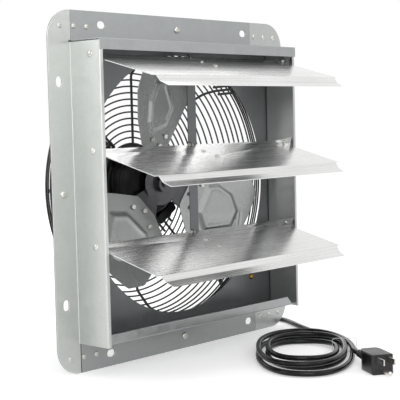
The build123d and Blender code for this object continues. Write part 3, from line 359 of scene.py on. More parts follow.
def lathe(name, profile, axis, around, place=(0, 0, 0)):
    """A closed turned shape: the profile gives (along the axis, radius) from end to end."""
    made = bmesh.new()
    rows = []
    for along, radius in profile:
        turns = [2 * math.pi * step / around for step in range(around if radius else 1)]
        rows.append([made.verts.new((radius * math.cos(turn), radius * math.sin(turn), along))
                     for turn in turns])
    closing = rows[:1] if profile[0][1] and profile[-1][1] else []
    for before, after in zip(rows, rows[1:] + closing):
        for step in range(around):
            ring = [before[step % len(before)], before[(step + 1) % len(before)],
                    after[(step + 1) % len(after)], after[step % len(after)]]
            corners = [vert for number, vert in enumerate(ring) if vert not in ring[:number]]
            if len(corners) > 2:
                made.faces.new(corners)
    turned = Vector(axis).to_track_quat("Z", "X").to_matrix().to_4x4()
    made.transform(Matrix.Translation(place) @ turned)
    bmesh.ops.recalc_face_normals(made, faces=made.faces)
    return mesh_from(made, name)


def place_piece(name, mesh, material, cad_node, edge=0.0, edge_steps=2, body="housing"):
    """Puts a finished mesh in the scene, on its body and with rounded edges."""
    mesh.materials.clear()
    mesh.materials.append(material)
    mesh.shade_smooth()
    mesh.set_sharp_from_angle(angle=smooth_angle)
    piece = show(name, mesh)
    if edge:
        rounding = piece.modifiers.new("rounded_edges", "BEVEL")
        rounding.width = edge
        rounding.segments = edge_steps
        rounding.limit_method = "ANGLE"
        rounding.angle_limit = rounding_angle
        rounding.harden_normals = True
    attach(piece, body)
    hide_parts(cad_node)
    return piece


def finish_node(name, material, edge=0.0, edge_steps=2, body="housing"):
    """A CAD node with its triangles joined, smooth bends, rounded edges and its finish."""
    made = bmesh.new()
    made.from_mesh(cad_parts[name].data)
    bmesh.ops.remove_doubles(made, verts=made.verts, dist=weld_distance)
    bmesh.ops.dissolve_limit(made, angle_limit=flat_angle, verts=made.verts, edges=made.edges)
    mesh = mesh_from(made, name + "_finish")
    for label in ("custom_normal", "sharp_edge"):
        if label in mesh.attributes:
            mesh.attributes.remove(mesh.attributes[label])
    return place_piece(name + "_finish", mesh, material, name, edge, edge_steps, body)


moulding = grained_material("plug_moulding", cord_black, 0.36, grain=800.0, cloud=30.0, bump=0.15,
                            grain_amount=0.2, cloud_amount=0.3, spread=0.08)
plated = grained_material("contact_plating", plated_color, 0.22, metallic=1.0, grain=1500.0,
                          cloud=60.0, grain_amount=0.05, bump=0.04)
relief_profile = [(0, 0), (0, relief_tip_radius)]
rib_step = relief_length / relief_ribs
for number in range(relief_ribs):
    growth = (number + 0.5) / relief_ribs
    rib = relief_tip_radius + (relief_root_radius - relief_tip_radius) * growth
    relief_profile += [((number + share) * rib_step, rib - drop) for share, drop in relief_shares]
relief_profile += [(relief_length, relief_root_radius - relief_groove), (relief_length, 0)]
relief_mesh = lathe("plug_relief", relief_profile, plug_way, around=40, place=plug_start)
relief = place_piece("plug_relief", relief_mesh, moulding, "plug_strain_relief",
                     edge=0.0003)
plug = finish_node("plug_body", moulding, edge=0.0008, edge_steps=3)
prongs = finish_node("plug_prongs", plated, edge=0.0003)
earth_low, earth_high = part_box("plug_earth_pin")
pin_radius = (earth_high.z - earth_low.z) / 2 * pin_slimness
pin_foot = plug_start + plug_way * (relief_length + plug_body_length)
pin_foot.z = (earth_low.z + earth_high.z) / 2
pin_profile = [(0, 0), (0, pin_radius)]
pin_profile += [(pin_length - pin_radius * back, pin_radius * share) for back, share in pin_tip]
pin_mesh = lathe("earth_pin", pin_profile, plug_way, around=32, place=pin_foot)
earth_pin = place_piece("earth_pin", pin_mesh, plated, "plug_earth_pin")


# The coil's tie: a thin band of clear plastic, wound round the strands at the coil's right
# side and welded to itself. It holds the coil together.
clear_color = (0.80, 0.82, 0.82, 1)
clear_band = grained_material("clear_band", clear_color, 0.15, grain=300.0, cloud=40.0, bump=0.05,
                              grain_amount=0.05, spread=0.05, alpha=0.30)
tie = finish_node("cord_tie", clear_band, edge=0.0002)


# The housing: side, top and bottom panels bent from galvanised sheet, each with a strip of
# the wall flange, and the flat orifice panel behind them. All are riveted at the corners.
# The side walls' copies of the sheet are painted lighter than the top and bottom panels: painted
# light, the left wall most.
left_wall_painted_light_color = (0.55, 0.565, 0.55, 1)
right_wall_painted_light_color = (0.47, 0.48, 0.475, 1)
zinc_color = (0.36, 0.372, 0.372, 1)
# The orifice panel's copy of the sheet is painted much darker: painted shade inside the housing.
orifice_painted_shade_color = (0.17, 0.177, 0.18, 1)
spangle_scale = 160.0
spangle_wobble = (0.012, 0.012, 0.012)
spangle_gloss, spangle_dull = 0.06, 0.08
zinc_bump, zinc_depth = 0.03, 0.0003
sheet_edge = 0.00018


def zinc_group():
    """Galvanised sheet: pale crystals, fine bright and dark grains, and broad clouds."""
    group, given = new_group(
        "zinc_crystals", "ShaderNodeTree",
        (("Crystal Scale", "Float", spangle_scale), ("Crystal Amount", "Float", 0.16),
         ("Grain Amount", "Float", 0.22), ("Cloud Amount", "Float", 0.15)),
        (("Shade", "Float"), ("Crystal", "Float"), ("Grain", "Float")))
    place = node(group, "ShaderNodeTexCoord").outputs["Object"]
    wobble = node(group, "ShaderNodeTexNoise", {"Vector": place, "Scale": 120.0, "Detail": 2.0})
    inputs = {0: wobble.outputs["Color"], 1: spangle_wobble, 2: place}
    bent = node(group, "ShaderNodeVectorMath", inputs, operation="MULTIPLY_ADD")
    cells = node(group, "ShaderNodeTexVoronoi", {"Vector": bent, "Scale": given["Crystal Scale"]})
    crystal = node(group, "ShaderNodeSeparateColor", {"Color": cells.outputs["Color"]})
    grain = noise(group, place, scale=650.0, detail=4.0, Roughness=0.7)
    cloud = noise(group, place, scale=9.0, detail=3.0)
    shade = shade_of(group, ((crystal, "Crystal Amount"), (grain, "Grain Amount"),
                             (cloud, "Cloud Amount")), given)
    node(group, "NodeGroupOutput", {"Shade": shade, "Crystal": crystal, "Grain": grain})
    return group


zinc_crystals = zinc_group()


def zinc_material(name, color, roughness, metallic=0.85, crystal=0.05, grain=0.26, cloud=0.10):
    """Galvanised sheet in a given shade, its crystals seen in colour and gloss."""
    material, tree = emptied(bpy.data.materials.new(name))
    inputs = {"Crystal Scale": spangle_scale, "Crystal Amount": crystal, "Grain Amount": grain,
              "Cloud Amount": cloud}
    marks = node(tree, "ShaderNodeGroup", inputs, node_tree=zinc_crystals).outputs
    gloss = mapped(tree, marks["Crystal"], roughness - spangle_gloss, roughness + spangle_dull)
    relief = bumped(tree, marks["Grain"], zinc_bump, zinc_depth)
    surface_output(tree, color, marks["Shade"], gloss, relief, Metallic=metallic)
    return material


# Each panel gets its own copy of the galvanised sheet; the copies' colours differ by painted light
# and painted shade.
for name, color, roughness, panels in (
        ("left_zinc", left_wall_painted_light_color, 0.37, ["left_side_panel"]),
        ("right_zinc", right_wall_painted_light_color, 0.37, ["right_side_panel"]),
        ("housing_zinc", zinc_color, 0.36, ["top_panel", "bottom_panel"]),
        ("orifice_zinc", orifice_painted_shade_color, 0.40, ["orifice_panel"])):
    finish = zinc_material(name, color, roughness)
    for panel in panels:
        finish_node(panel, finish, edge=sheet_edge, edge_steps=1)


# Flange rivets: blind rivets of plated steel with a low dome and a hollow middle. They join
# the panels at the flange's corners, and their tails close behind the sheets.
rivet_head_radius, rivet_head_height = 0.0031, 0.0011
rivet_hole_radius = 0.0009
tail_radius_share, tail_height_share = 0.7, 0.9
flange_stack = 0.002
rivet_row_heights = (-0.187, 0.187)
rivet_columns = (-0.1875, -0.167, -0.148, 0.148, 0.167, 0.1875)
rivet_metal_color = (0.60, 0.60, 0.56, 1)


def finish_tree(tree, geometry, finish, label):
    """Ends a geometry tree: the copies made real, with their finish."""
    real = node(tree, "GeometryNodeRealizeInstances", {"Geometry": geometry})
    painted = node(tree, "GeometryNodeSetMaterial", {"Geometry": real, "Material": finish})
    node(tree, "NodeGroupOutput", {label: painted})
    return tree


def repeat_tree():
    """Sets one shape on each point of a mesh and joins the copies."""
    tree, given = new_group(
        "shape_on_points", "GeometryNodeTree",
        (("Places", "Geometry"), ("Shape", "Object"), ("Finish", "Material")),
        (("Copies", "Geometry"),))
    shape = node(tree, "GeometryNodeObjectInfo", {"Object": given["Shape"]}).outputs["Geometry"]
    copies = node(tree, "GeometryNodeInstanceOnPoints",
                  {"Points": given["Places"], "Instance": shape})
    return finish_tree(tree, copies, given["Finish"], "Copies")


shape_on_points = repeat_tree()


def built_mesh(name, carrier):
    """The finished mesh of an object that is needed only to make it."""
    ready = carrier.evaluated_get(bpy.context.evaluated_depsgraph_get())
    mesh = bpy.data.meshes.new_from_object(ready)
    mesh.name = name
    bpy.data.objects.remove(carrier)
    return mesh


def run_tree(name, tree, source, values):
    """The result of a geometry tree on a mesh, as a plain mesh."""
    carrier = show(name + "_carrier", source)
    maker = carrier.modifiers.new("maker", "NODES")
    maker.node_group = tree
    for item in tree.interface.items_tree:
        if item.in_out == "INPUT" and item.name in values:
            maker[item.identifier] = values[item.name]
    return built_mesh(name, carrier)


def points_mesh(name, places):
    """A mesh of loose points."""
    points = bpy.data.meshes.new(name + "_places")
    points.from_pydata(places, [], [])
    return points


def copies_at(name, shape_mesh, places, material):
    """One mesh with a copy of the shape at each place."""
    pattern = show(name + "_pattern", shape_mesh)
    mesh = run_tree(name, shape_on_points, points_mesh(name, places),
                    {"Shape": pattern, "Finish": material})
    bpy.data.objects.remove(pattern)
    return mesh


def joined(name, meshes):
    """Several meshes as one."""
    made = bmesh.new()
    for mesh in meshes:
        made.from_mesh(mesh)
    return mesh_from(made, name)


def dome_profile(radius, height, hole):
    """A low dome with a drilled middle, from the seat up to the crown."""
    return [(0, 0), (0, radius), (height * 0.35, radius * 0.97), (height * 0.75, radius * 0.75),
            (height, radius * 0.45), (height, hole), (height * 0.3, hole * 0.9), (height * 0.25, 0)]


fastener_zinc = grained_material("fastener_zinc", rivet_metal_color, 0.30, metallic=1.0,
                                 grain=1800.0, cloud=90.0, grain_amount=0.12, cloud_amount=0.2)
head = dome_profile(rivet_head_radius, rivet_head_height, rivet_hole_radius)
tail = dome_profile(rivet_head_radius * tail_radius_share, rivet_head_height * tail_height_share,
                    rivet_hole_radius)
rivet_parts = [
    copies_at(name, lathe(name, profile, axis, around),
              [(x, depth, z) for x in rivet_columns for z in rivet_row_heights], fastener_zinc)
    for name, profile, axis, around, depth in (("front_heads", head, (0, -1, 0), 24, 0),
                                               ("tails", tail, (0, 1, 0), 20, flange_stack))]
place_piece("flange_rivet_heads", joined("flange_rivet_heads", rivet_parts), fastener_zinc,
            "flange_rivets")


# Guard screws: pan-head screws through the middle of each side of the flange, with nuts
# behind that clamp the guard's wire eyes. The brass earth screw sits in the orifice panel.
guard_screw_circle = 0.1895
pan_radius, pan_height = 0.0043, 0.0025
screw_radius = 0.0024
guard_stack, guard_nut_height = 0.0054, 0.0032
recess_length, recess_width, recess_depth = 1.25, 0.28, 0.0012
brass_front, brass_radius, brass_shank = 0.001, 0.0038, 0.002
brass_color = (0.52, 0.33, 0.10, 1)


def pan_profile(radius, height, shank, length):
    """A pan head, with its seat at zero and its shank behind it."""
    return [(height, 0), (height * 0.98, radius * 0.35), (height * 0.86, radius * 0.72),
            (height * 0.55, radius * 0.95), (height * 0.25, radius), (0, radius), (0, shank),
            (-length, shank), (-length, 0)]


def cross_screw(name, radius, height, shank, length):
    """A pan-head screw that points along -Y, with a cross cut into its crown."""
    profile = pan_profile(radius, height, shank, length)
    head = show(name, lathe(name, profile, (0, -1, 0), around=28))
    made = bmesh.new()
    long, narrow = radius * recess_length, radius * recess_width
    for wide, tall in ((long, narrow), (narrow, long)):
        added = bmesh.ops.create_cube(made, size=1)["verts"]
        bmesh.ops.scale(made, vec=(wide, recess_depth * 2, tall), verts=added)
    bmesh.ops.translate(made, vec=(0, -height, 0), verts=made.verts)
    cutter = show("recess_cut", mesh_from(made, "recess_cut"))
    cut = head.modifiers.new("recess", "BOOLEAN")
    cut.operation = "DIFFERENCE"
    cut.solver = "EXACT"
    cut.use_self = True
    cut.object = cutter
    mesh = built_mesh(name, head)
    bpy.data.objects.remove(cutter)
    return mesh


pan_screw = cross_screw("pan_screw", pan_radius, pan_height, screw_radius,
                        guard_stack + guard_nut_height)
screw_places = [(guard_screw_circle * x, 0, guard_screw_circle * z)
                for x, z in ((1, 0), (-1, 0), (0, 1), (0, -1))]
place_piece("guard_screw_set", copies_at("guard_screw_set", pan_screw, screw_places, fastener_zinc),
            fastener_zinc, "guard_screws")
finish_node("guard_nuts", fastener_zinc, edge=0.0003)
brass = grained_material("screw_brass", brass_color, 0.28, metallic=1.0, grain=1500.0,
                         cloud=120.0, grain_amount=0.15, cloud_amount=0.4)
brass_low, brass_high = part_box("earth_screw")
brass_middle = (brass_low + brass_high) / 2
brass_screw = cross_screw("brass_screw", brass_radius, brass_front - brass_low.y, brass_shank,
                          brass_high.y - brass_front)
brass_mesh = copies_at("brass_earth_screw", brass_screw,
                       [(brass_middle.x, brass_front, brass_middle.z)], brass)
place_piece("brass_earth_screw", brass_mesh, brass, "earth_screw")


# Pivot rivets and spacers: each louvre turns on two rivets set in the side walls, with a
# black nylon spacer between wall and louvre ear.
pivot_setback = 0.0322
top_pivot_height = 0.1542
louvre_pitch = 0.1067
louvre_count = 3
half_housing = 0.173
pivot_head_radius, pivot_head_height = 0.0039, 0.0015
pivot_head_shape = ((1, 0), (1, 0.4), (0.8, 0.8), (0.3, 1), (0, 1))
pivot_pin_radius, pivot_pin_length = 0.0019, 0.0092
# The spacers' black is their own colour and also painted shade for the dark corners at the louvres'
# right ends.
nylon_and_painted_shade_color = (0.03, 0.03, 0.032, 1)
pivot_profile = [(pivot_head_height * up, pivot_head_radius * out) for up, out in pivot_head_shape]
pivot_profile += [(0, pivot_pin_radius), (-pivot_pin_length, pivot_pin_radius),
                  (-pivot_pin_length, 0)]
pivot_sets = []
for side in (-1, 1):
    pin = lathe("pivot_pin", pivot_profile, (side, 0, 0), around=28)
    places = [(side * half_housing, -pivot_setback, top_pivot_height - louvre_pitch * row)
              for row in range(louvre_count)]
    pivot_sets.append(copies_at("pivot_pins", pin, places, fastener_zinc))
place_piece("louvre_pivots", joined("louvre_pivots", pivot_sets), fastener_zinc,
            "louvre_pivot_rivets")
nylon = grained_material("spacer_nylon_and_painted_shade", nylon_and_painted_shade_color, 0.5, grain=500.0, cloud=60.0,
                         grain_amount=0.08, bump=0.05)
finish_node("louvre_pivot_spacers", nylon, edge=0.0003)


# The wire guard: thin black-coated rings on thicker ribs. Four ribs end in eyes under the
# screws, four more run on the diagonals, and short wires stand in pairs beside those.
guard_depth = 0.0845
thin_wire, thick_wire = 0.0011, 0.0017
inner_ring_radius = 0.0504
face_ring_pitch = 0.0082
face_ring_count = 11
rib_count = 4
rib_foot = 0.0037
guard_base, guard_side, guard_waist = (0.1679, rib_foot), (0.1653, 0.0455), (0.1598, 0.0618)
guard_corner = (0.1389, guard_depth - thick_wire)
guard_inner = (inner_ring_radius, guard_depth - thick_wire)
foot_bend, side_bend, waist_bend, corner_bend = 0.005, 0.060, 0.028, 0.010
bend_steps = 6
side_ring_spots = (
    (0.1704, 0.0155), (0.1701, 0.0185), (0.1699, 0.0215), (0.1695, 0.0255),
    (0.1689, 0.0339), (0.1681, 0.0416), (0.1671, 0.049), (0.1649, 0.056),
    (0.1621, 0.0632), (0.157, 0.0687), (0.1515, 0.0742), (0.1461, 0.0797),
)
inner_stub_spacing, inner_stub_reach = 0.009, (0.0521, 0.086)
outer_stub_spacing, outer_stub_ends = 0.0065, ((0.1678, 0.006), (0.1655, 0.042))
coat_black = (0.012, 0.012, 0.013, 1)
eye_middle_radius, eye_points = 0.00435, 24


def ring_tree():
    """Wire rings about the Y axis: a point's X gives the radius, and its Y the depth."""
    tree, given = new_group(
        "wire_rings", "GeometryNodeTree",
        (("Places", "Geometry"), ("Wire Radius", "Float", 0.001), ("Finish", "Material")),
        (("Rings", "Geometry"),))
    place = node(tree, "ShaderNodeSeparateXYZ", {0: node(tree, "GeometryNodeInputPosition")})
    middle = node(tree, "ShaderNodeCombineXYZ", {"Y": place.outputs["Y"]})
    kept = node(tree, "GeometryNodeStoreNamedAttribute",
                {"Geometry": given["Places"], "Name": "ring_radius", "Value": place.outputs["X"]},
                data_type="FLOAT", domain="POINT")
    moved = node(tree, "GeometryNodeSetPosition", {"Geometry": kept, "Position": middle})
    size = node(tree, "GeometryNodeInputNamedAttribute", {"Name": "ring_radius"},
                data_type="FLOAT")
    circle = node(tree, "GeometryNodeCurvePrimitiveCircle", {"Resolution": 128, "Radius": 1.0})
    turn = node(tree, "FunctionNodeEulerToRotation", {"Euler": (math.pi / 2, 0, 0)})
    rings = node(tree, "GeometryNodeInstanceOnPoints",
                 {"Points": moved, "Instance": circle, "Rotation": turn, "Scale": size})
    lines = node(tree, "GeometryNodeRealizeInstances", {"Geometry": rings})
    section = node(tree, "GeometryNodeCurvePrimitiveCircle",
                   {"Resolution": 10, "Radius": given["Wire Radius"]})
    wire = node(tree, "GeometryNodeCurveToMesh", {"Curve": lines, "Profile Curve": section})
    return finish_tree(tree, wire, given["Finish"], "Rings")


def spin_tree():
    """Copies of a shape turned about the Y axis by equal steps."""
    tree, given = new_group(
        "turned_copies", "GeometryNodeTree",
        (("Shape", "Geometry"), ("First Angle", "Float"), ("Finish", "Material")),
        (("Turned", "Geometry"),))
    points = node(tree, "GeometryNodeMeshLine", {"Count": rib_count, "Offset": (0, 0, 0)})
    angle = calculated(tree, "MULTIPLY_ADD", node(tree, "GeometryNodeInputIndex"),
                       2 * math.pi / rib_count, given["First Angle"])
    euler = node(tree, "ShaderNodeCombineXYZ", {"Y": angle})
    turn = node(tree, "FunctionNodeEulerToRotation", {"Euler": euler})
    copies = node(tree, "GeometryNodeInstanceOnPoints",
                  {"Points": points, "Instance": given["Shape"], "Rotation": turn})
    return finish_tree(tree, copies, given["Finish"], "Turned")


def arc_at(before, corner, after, bend, steps):
    """The points of a soft bend at the corner of a line."""
    into, out = (corner - before).normalized(), (after - corner).normalized()
    reach = bend * math.tan(into.angle(out) / 2)
    start, end = corner - into * reach, corner + out * reach
    return [start.lerp(corner, step / steps).lerp(corner.lerp(end, step / steps), step / steps)
            for step in range(steps + 1)]


def bent_line(points, bends):
    """The middle line of a bent wire in the plane of X and Y."""
    corners = [Vector((*point, 0)) for point in points]
    line = corners[:1]
    for before, corner, after, bend in zip(corners, corners[1:], corners[2:], bends):
        line += arc_at(before, corner, after, bend, bend_steps)
    return line + corners[-1:]


def wire_mesh(name, lines, closed=False):
    """Thick round wires along the given lines."""
    curve = bpy.data.curves.new(name, "CURVE")
    curve.dimensions = "3D"
    curve.bevel_depth = thick_wire
    curve.bevel_resolution = 3
    curve.use_fill_caps = True
    for places in lines:
        add_spline(curve, "POLY", places).use_cyclic_u = closed
    return built_mesh(name, show(name, curve))


wire_rings = ring_tree()
turned_copies = spin_tree()
guard_coat = grained_material("guard_coat", coat_black, 0.33, grain=700.0, cloud=20.0, bump=0.12,
                              grain_amount=0.2, cloud_amount=0.4, spread=0.08)
face_ring_spots = [(inner_ring_radius + face_ring_pitch * (number + 1), guard_depth + thin_wire)
                   for number in range(face_ring_count)]
inner_ring_spots = [(inner_ring_radius, guard_depth + thick_wire)]
for name, spots, wire, cad_node in (
        ("guard_face", face_ring_spots, thin_wire, "guard_face_rings"),
        ("guard_inner", inner_ring_spots, thick_wire, "guard_inner_ring"),
        ("guard_side", side_ring_spots, thin_wire, "guard_side_rings")):
    spot_mesh = points_mesh(name, [(radius, depth, 0) for radius, depth in spots])
    rings = run_tree(name, wire_rings, spot_mesh, {"Wire Radius": wire, "Finish": guard_coat})
    place_piece(name, rings, guard_coat, cad_node)
eye_line = [(guard_screw_circle + eye_middle_radius * math.cos(turn), rib_foot,
             eye_middle_radius * math.sin(turn))
            for turn in [2 * math.pi * step / eye_points for step in range(eye_points)]]
rib_line = bent_line([(guard_screw_circle - eye_middle_radius, rib_foot), guard_base, guard_side,
                      guard_waist, guard_corner, guard_inner],
                     [foot_bend, side_bend, waist_bend, corner_bend])
rib_mesh = joined("rib", [wire_mesh("rib_line", [rib_line]), wire_mesh("eye", [eye_line], True)])
diagonal_line = bent_line([outer_stub_ends[0], guard_side, guard_waist, guard_corner, guard_inner],
                          [side_bend, waist_bend, corner_bend])
stub_lines = [[(place, guard_depth - thick_wire, side) for place in inner_stub_reach]
              for side in (-inner_stub_spacing, inner_stub_spacing)]
stub_lines += [[(*place, side) for place in outer_stub_ends]
               for side in (-outer_stub_spacing, outer_stub_spacing)]
for name, shape, first_angle, cad_node in (
        ("guard_rib_wires", rib_mesh, 0, "guard_ribs"),
        ("guard_diagonals", wire_mesh("diagonal", [diagonal_line]), 45, "guard_diagonal_ribs"),
        ("guard_stubs", wire_mesh("stub", stub_lines), 45, "guard_stub_wires")):
    values = {"First Angle": math.radians(first_angle), "Finish": guard_coat}
    wires = run_tree(name, turned_copies, shape, values)
    place_piece(name, wires, guard_coat, cad_node)


# The motor: a closed black motor with two cast bells and a pressed shell between them. Its
# rear bell has four ears, screwed to the mount plate that the guard's ribs carry.
motor_radius = 0.040
motor_front = 0.044
shell_front, shell_rear = 0.062, 0.0896
bell_shoulder, bell_boss_radius, bell_bore, bell_wall = 0.031, 0.015, 0.00405, 0.002
bell_slope_depth, bell_slope_rise, bell_rim_depth = 0.0035, 0.0065, 0.009
bell_inner_floor, bell_inner_rim = 0.004, 0.011
shell_ribs = (0.069, 0.081)
shell_rib_height, shell_rib_width = 0.0012, 0.003
shell_rib_shape = ((-1 / 2, 0), (-1 / 4, 1), (1 / 4, 1), (1 / 2, 0))
gland_collar = ((0, 0.0062), (0.0028, 0.0062), (0.0032, 0.0052))
gland_ribs, gland_rib_radius, gland_taper = 4, 0.0054, 0.0011
gland_rib_start, gland_rib_margin = 0.0045, 0.0055
gland_rib_shape = ((0, 0), (0.0024, 0.0001), (0.0028, 0.0008), (0.0038, 0.0009))
gland_tip_radius = 0.0038
motor_black = (0.005, 0.005, 0.006, 1)
motor_paint = grained_material("motor_paint", motor_black, 0.38, grain=500.0, cloud=18.0, bump=0.2,
                               grain_amount=0.3, cloud_amount=0.4, spread=0.08, shine=0.12)
bell_profile = [(motor_front - bell_wall, bell_bore), (motor_front - bell_wall, bell_boss_radius),
                (motor_front, bell_boss_radius), (motor_front, bell_shoulder),
                (motor_front + bell_slope_depth, bell_shoulder + bell_slope_rise),
                (motor_front + bell_rim_depth, motor_radius), (shell_front, motor_radius),
                (shell_front, motor_radius - bell_wall),
                (motor_front + bell_inner_rim, motor_radius - bell_wall),
                (motor_front + bell_inner_floor, bell_shoulder - bell_wall),
                (motor_front + bell_inner_floor, bell_bore)]
shell_profile = [(shell_front, motor_radius - bell_wall), (shell_front, motor_radius)]
for place in shell_ribs:
    shell_profile += [(place + shell_rib_width * along, motor_radius + shell_rib_height * out)
                      for along, out in shell_rib_shape]
shell_profile += [(shell_rear, motor_radius), (shell_rear, motor_radius - bell_wall)]
for name, profile, cad_node, edge in (
        ("motor_front_cap", bell_profile, "motor_front_bell", 0.0006),
        ("motor_shell_band", shell_profile, "motor_shell", 0.0004)):
    place_piece(name, lathe(name, profile, (0, 1, 0), around=72), motor_paint,
                cad_node, edge=edge)
for name in ("motor_rear_bell", "motor_wiring_box"):
    finish_node(name, motor_paint, edge=0.0008)
gland_low, gland_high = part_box("cord_gland")
gland_middle = (gland_low + gland_high) / 2
gland_length = gland_high.x - gland_low.x
gland_profile = [(0, 0), *gland_collar]
for number in range(gland_ribs):
    share = number / gland_ribs
    rib = gland_rib_radius - gland_taper * share
    start = gland_rib_start + (gland_length - gland_rib_margin) * share
    gland_profile += [(start + along, rib - drop) for along, drop in gland_rib_shape]
gland_profile += [(gland_length, gland_tip_radius), (gland_length, 0)]
gland_mesh = lathe("cord_gland_sleeve", gland_profile, (1, 0, 0), around=32,
                   place=(gland_low.x, gland_middle.y, gland_middle.z))
place_piece("cord_gland_sleeve", gland_mesh, moulding, "cord_gland", edge=0.0002)
for name in ("motor_mount_plate", "mount_clamp_bars"):
    finish_node(name, guard_coat, edge=0.0003)
finish_node("mount_screws", fastener_zinc, edge=0.0003)

# The motor's inside, closed from view: a laminated steel core with copper windings in the
# shell, and a rotor core on the shaft between two ball bearings pressed into the bells.
core_color, copper_color = (0.20, 0.20, 0.21, 1), (0.45, 0.20, 0.08, 1)
steel_color = (0.45, 0.45, 0.46, 1)
core_iron = grained_material("core_iron", core_color, 0.5, metallic=0.8, grain=1200.0, bump=0.2)
copper = grained_material("winding_copper", copper_color, 0.35, metallic=1.0, bump=0.3)
turned_steel = grained_material("turned_steel", steel_color, 0.26, metallic=1.0, grain=2000.0,
                                cloud=80.0, grain_amount=0.08, bump=0.05)
finish_node("motor_stator", core_iron)
finish_node("motor_windings", copper)
finish_node("motor_bearings", turned_steel)
finish_node("motor_rotor_core", core_iron, body="fan")


# The fan: three pressed blades riveted to a spider, whose hub boss is held on the motor's
# shaft by a set screw. Blades and spider are galvanised steel, the blades duller than the
# housing; the spider and hub boss are painted near black, as painted shade.
tip_radius = 0.150
blade_half_sheet = 0.0006
blade_plane, blade_plane_radius = 0.029, 0.048
blade_pitch_slope, blade_cone_slope, blade_camber = 0.27, -0.15, 0.004
blade_angles = (97.0, -23.0, -143.0)
blade_outline = ((0.27, -0.11), (0.36, -0.29), (0.59, -0.36), (0.83, -0.36), (1.03, -0.22),
                 (1.03, 0.29), (0.87, 0.45), (0.65, 0.465), (0.46, 0.29), (0.27, 0.095))
blade_field = ((0.465, -0.145), (0.545, -0.185), (0.715, -0.16), (0.853, -0.053), (0.857, 0.087),
               (0.613, 0.205), (0.485, 0.093))
blade_corner, corner_steps = 0.075, 7
field_height, field_ramp = 0.0022, 0.0070
ridge_height, ridge_width = 0.0007, 0.0030
crease_depth, crease_width = 0.0008, 0.0011
tip_creases = (((0.875, -0.045), (0.935, 0.1)), ((0.905, -0.06), (0.965, 0.08)),
               ((0.88, 0.02), (0.9, 0.165)))
blade_step, edge_clearance = 0.0017, 0.6
inside_only, merge_distance = 1, 1e-6
grid_inner, grid_low, grid_high = 0.27, -0.37, 0.48
blade_color = (0.34, 0.345, 0.345, 1)
# The spider and the hub boss are painted near black: painted shade behind the blades.
spider_painted_shade_color = hub_painted_shade_color = (0.10, 0.10, 0.105, 1)
blade_zinc = grained_material("blade_zinc", blade_color, 0.27, metallic=0.92, grain=260.0,
                              cloud=14.0, grain_amount=0.05, cloud_amount=0.12, bump=0.02,
                              spread=0.04)
spider_zinc_painted_shade = zinc_material("spider_zinc_painted_shade", spider_painted_shade_color, 0.36, metallic=0.9, crystal=0.04,
                            grain=0.3, cloud=0.3)
hub_steel_painted_shade = grained_material("hub_steel_painted_shade", hub_painted_shade_color, 0.34, metallic=0.9, grain=1500.0, cloud=80.0,
                             cloud_amount=0.2, bump=0.06)


def next_ones(items):
    """Each item with the one that follows it round a closed line."""
    return list(zip(items, items[1:] + items[:1]))


def rounded_outline(corners, radius):
    """A closed outline with an arc at each corner, inside the circle of the tips."""
    line = []
    for before, (corner, after) in zip(corners[-1:] + corners[:-1], next_ones(corners)):
        line += arc_at(before, corner, after, radius, corner_steps)
    fine = []
    for start, end in next_ones(line):
        pieces = max(1, round((end - start).length / blade_step))
        fine += [start.lerp(end, number / pieces) for number in range(pieces)]
    return [point * min(1, tip_radius / point.length) for point in fine]


def line_distance(point, start, end):
    """The distance to a line's nearest point, and on which side of the line the point is."""
    way = end - start
    share = min(max((point - start).dot(way) / way.length_squared, 0), 1)
    side = way.x * (point.y - start.y) - way.y * (point.x - start.x)
    return (point - start - way * share).length, side


def pressed_height(point):
    """The sheet's middle along the fan's axis: cone, pitch and camber, less the pressed field."""
    height = blade_plane + blade_cone_slope * (point.x - blade_plane_radius)
    height += point.y * blade_pitch_slope
    height -= blade_camber * (point.y / (tip_radius / 2)) ** 2
    found = [line_distance(point, start, end) for start, end in field_sides]
    inside = all(side > 0 for _, side in found)
    depth = min(distance for distance, _ in found) * (1 if inside else -1)
    share = min(max(depth / field_ramp + 0.5, 0), 1)
    height -= field_height * share * share * (3 - 2 * share)
    height -= ridge_height * math.exp(-((depth - field_ramp / 2) / ridge_width) ** 2)
    for start, end in crease_lines:
        distance, _ = line_distance(point, start, end)
        height += crease_depth * math.exp(-(distance / crease_width) ** 2)
    return height


field_sides = next_ones([Vector(pair) * tip_radius for pair in blade_field])
crease_lines = [(Vector(start) * tip_radius, Vector(end) * tip_radius)
                for start, end in tip_creases]
edge_points = rounded_outline([Vector(pair) * tip_radius for pair in blade_outline],
                              blade_corner * tip_radius)
edge_sides = next_ones(edge_points)
edge_loop = list(range(len(edge_points)))
grid = []
for row in range(int(grid_inner * tip_radius / blade_step), int(tip_radius / blade_step) + 1):
    for column in range(int(grid_low * tip_radius / blade_step),
                        int(grid_high * tip_radius / blade_step) + 1):
        place = Vector((row * blade_step, (column + row % 2 / 2) * blade_step))
        nearest = min(line_distance(place, start, end)[0] for start, end in edge_sides)
        if nearest > blade_step * edge_clearance:
            grid.append(place)
flat_points, _, flat_faces, *_ = delaunay_2d_cdt(edge_points + grid, [], [edge_loop],
                                                 inside_only, merge_distance)
heights = [pressed_height(point) for point in flat_points]
upper = len(flat_points)
faces = [tuple(face) for face in flat_faces]
faces += [tuple(reversed([corner + upper for corner in face])) for face in flat_faces]
border = {}
for face in flat_faces:
    for first, second in next_ones(face):
        if border.pop((second, first), None) is None:
            border[(first, second)] = True
faces += [(second, first, first + upper, second + upper) for first, second in border]
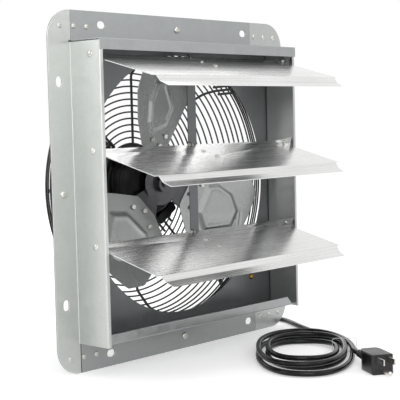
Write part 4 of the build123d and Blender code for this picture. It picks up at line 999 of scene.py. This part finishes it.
for number, angle in enumerate(blade_angles, 1):
    out_x, out_z = math.cos(math.radians(angle)), math.sin(math.radians(angle))
    sheet = bpy.data.meshes.new("flat_blade")
    sheet.from_pydata([(point.x * out_x + point.y * out_z, height + shift,
                        point.x * out_z - point.y * out_x)
                       for shift in (-blade_half_sheet, blade_half_sheet)
                       for point, height in zip(flat_points, heights)], [], faces)
    made = bmesh.new()
    made.from_mesh(sheet)
    loose = [vert for vert in made.verts if not vert.link_faces]
    bmesh.ops.delete(made, geom=loose, context="VERTS")
    bmesh.ops.recalc_face_normals(made, faces=made.faces)
    place_piece("pressed_blade_" + str(number), mesh_from(made, "blade"), blade_zinc,
                "fan_blade_" + str(number), body="fan")
finish_node("fan_spider", spider_zinc_painted_shade, edge=0.0003, body="fan")
finish_node("blade_rivets", fastener_zinc, edge=0.0006, body="fan")
for name, edge in (("hub_boss", 0.0004), ("hub_set_screw", 0.0002), ("motor_shaft", 0.0003)):
    finish_node(name, hub_steel_painted_shade, edge=edge, body="fan")


# Louvres: bright rolled sheet, pressed with a joggled front lip. Each has two ears on the
# pivot rivets and a clip riveted underneath that the tie bar's pin runs in.
louvre_color = (0.78, 0.78, 0.775, 1)
tie_bar_color = (0.14, 0.145, 0.15, 1)
line_stretch = (6.0, 900.0, 900.0)
line_shade_drop, line_shade_rise = 0.12, 0.06
line_gloss, line_dull = 0.05, 0.07
line_bump, wave_bump, wave_depth = 0.05, 0.25, 0.002


def rolled_material(name, color, roughness):
    """Bright rolled sheet: fine lines along it, and a soft, slightly wavy mirror."""
    material, tree = emptied(bpy.data.materials.new(name))
    place = node(tree, "ShaderNodeTexCoord").outputs["Object"]
    stretched = node(tree, "ShaderNodeMapping", {"Vector": place, "Scale": line_stretch})
    lines = noise(tree, stretched, scale=1.0, detail=3.0)
    waves = noise(tree, place, scale=14.0, detail=1.0)
    marks = node(tree, "ShaderNodeGroup", {"Cloud Amount": 0.05, "Grain Amount": 0.03},
                 node_tree=grain_and_clouds).outputs
    line_shade = mapped(tree, lines, 1 - line_shade_drop, 1 + line_shade_rise, *noise_range)
    shade = calculated(tree, "MULTIPLY", line_shade, marks["Shade"])
    gloss = mapped(tree, lines, roughness - line_gloss, roughness + line_dull)
    wavy = bumped(tree, waves, wave_bump, wave_depth)
    brushed = bumped(tree, lines, line_bump, grain_depth, Normal=wavy)
    surface_output(tree, color, shade, gloss, brushed, Metallic=0.92)
    return material


bright_sheet = rolled_material("bright_sheet", louvre_color, 0.25)
dull_strip = rolled_material("dull_strip", tie_bar_color, 0.34)
for louvre in ("louvre_1", "louvre_2", "louvre_3"):
    finish_node(louvre + "_panel", bright_sheet, edge=0.0002, body=louvre)
    finish_node(louvre + "_clip", dull_strip, edge=0.0002, body=louvre)
    finish_node(louvre + "_rivets", fastener_zinc, edge=0.0004, body=louvre)
finish_node("tie_bar", dull_strip, edge=0.0002, body="tie_bar")
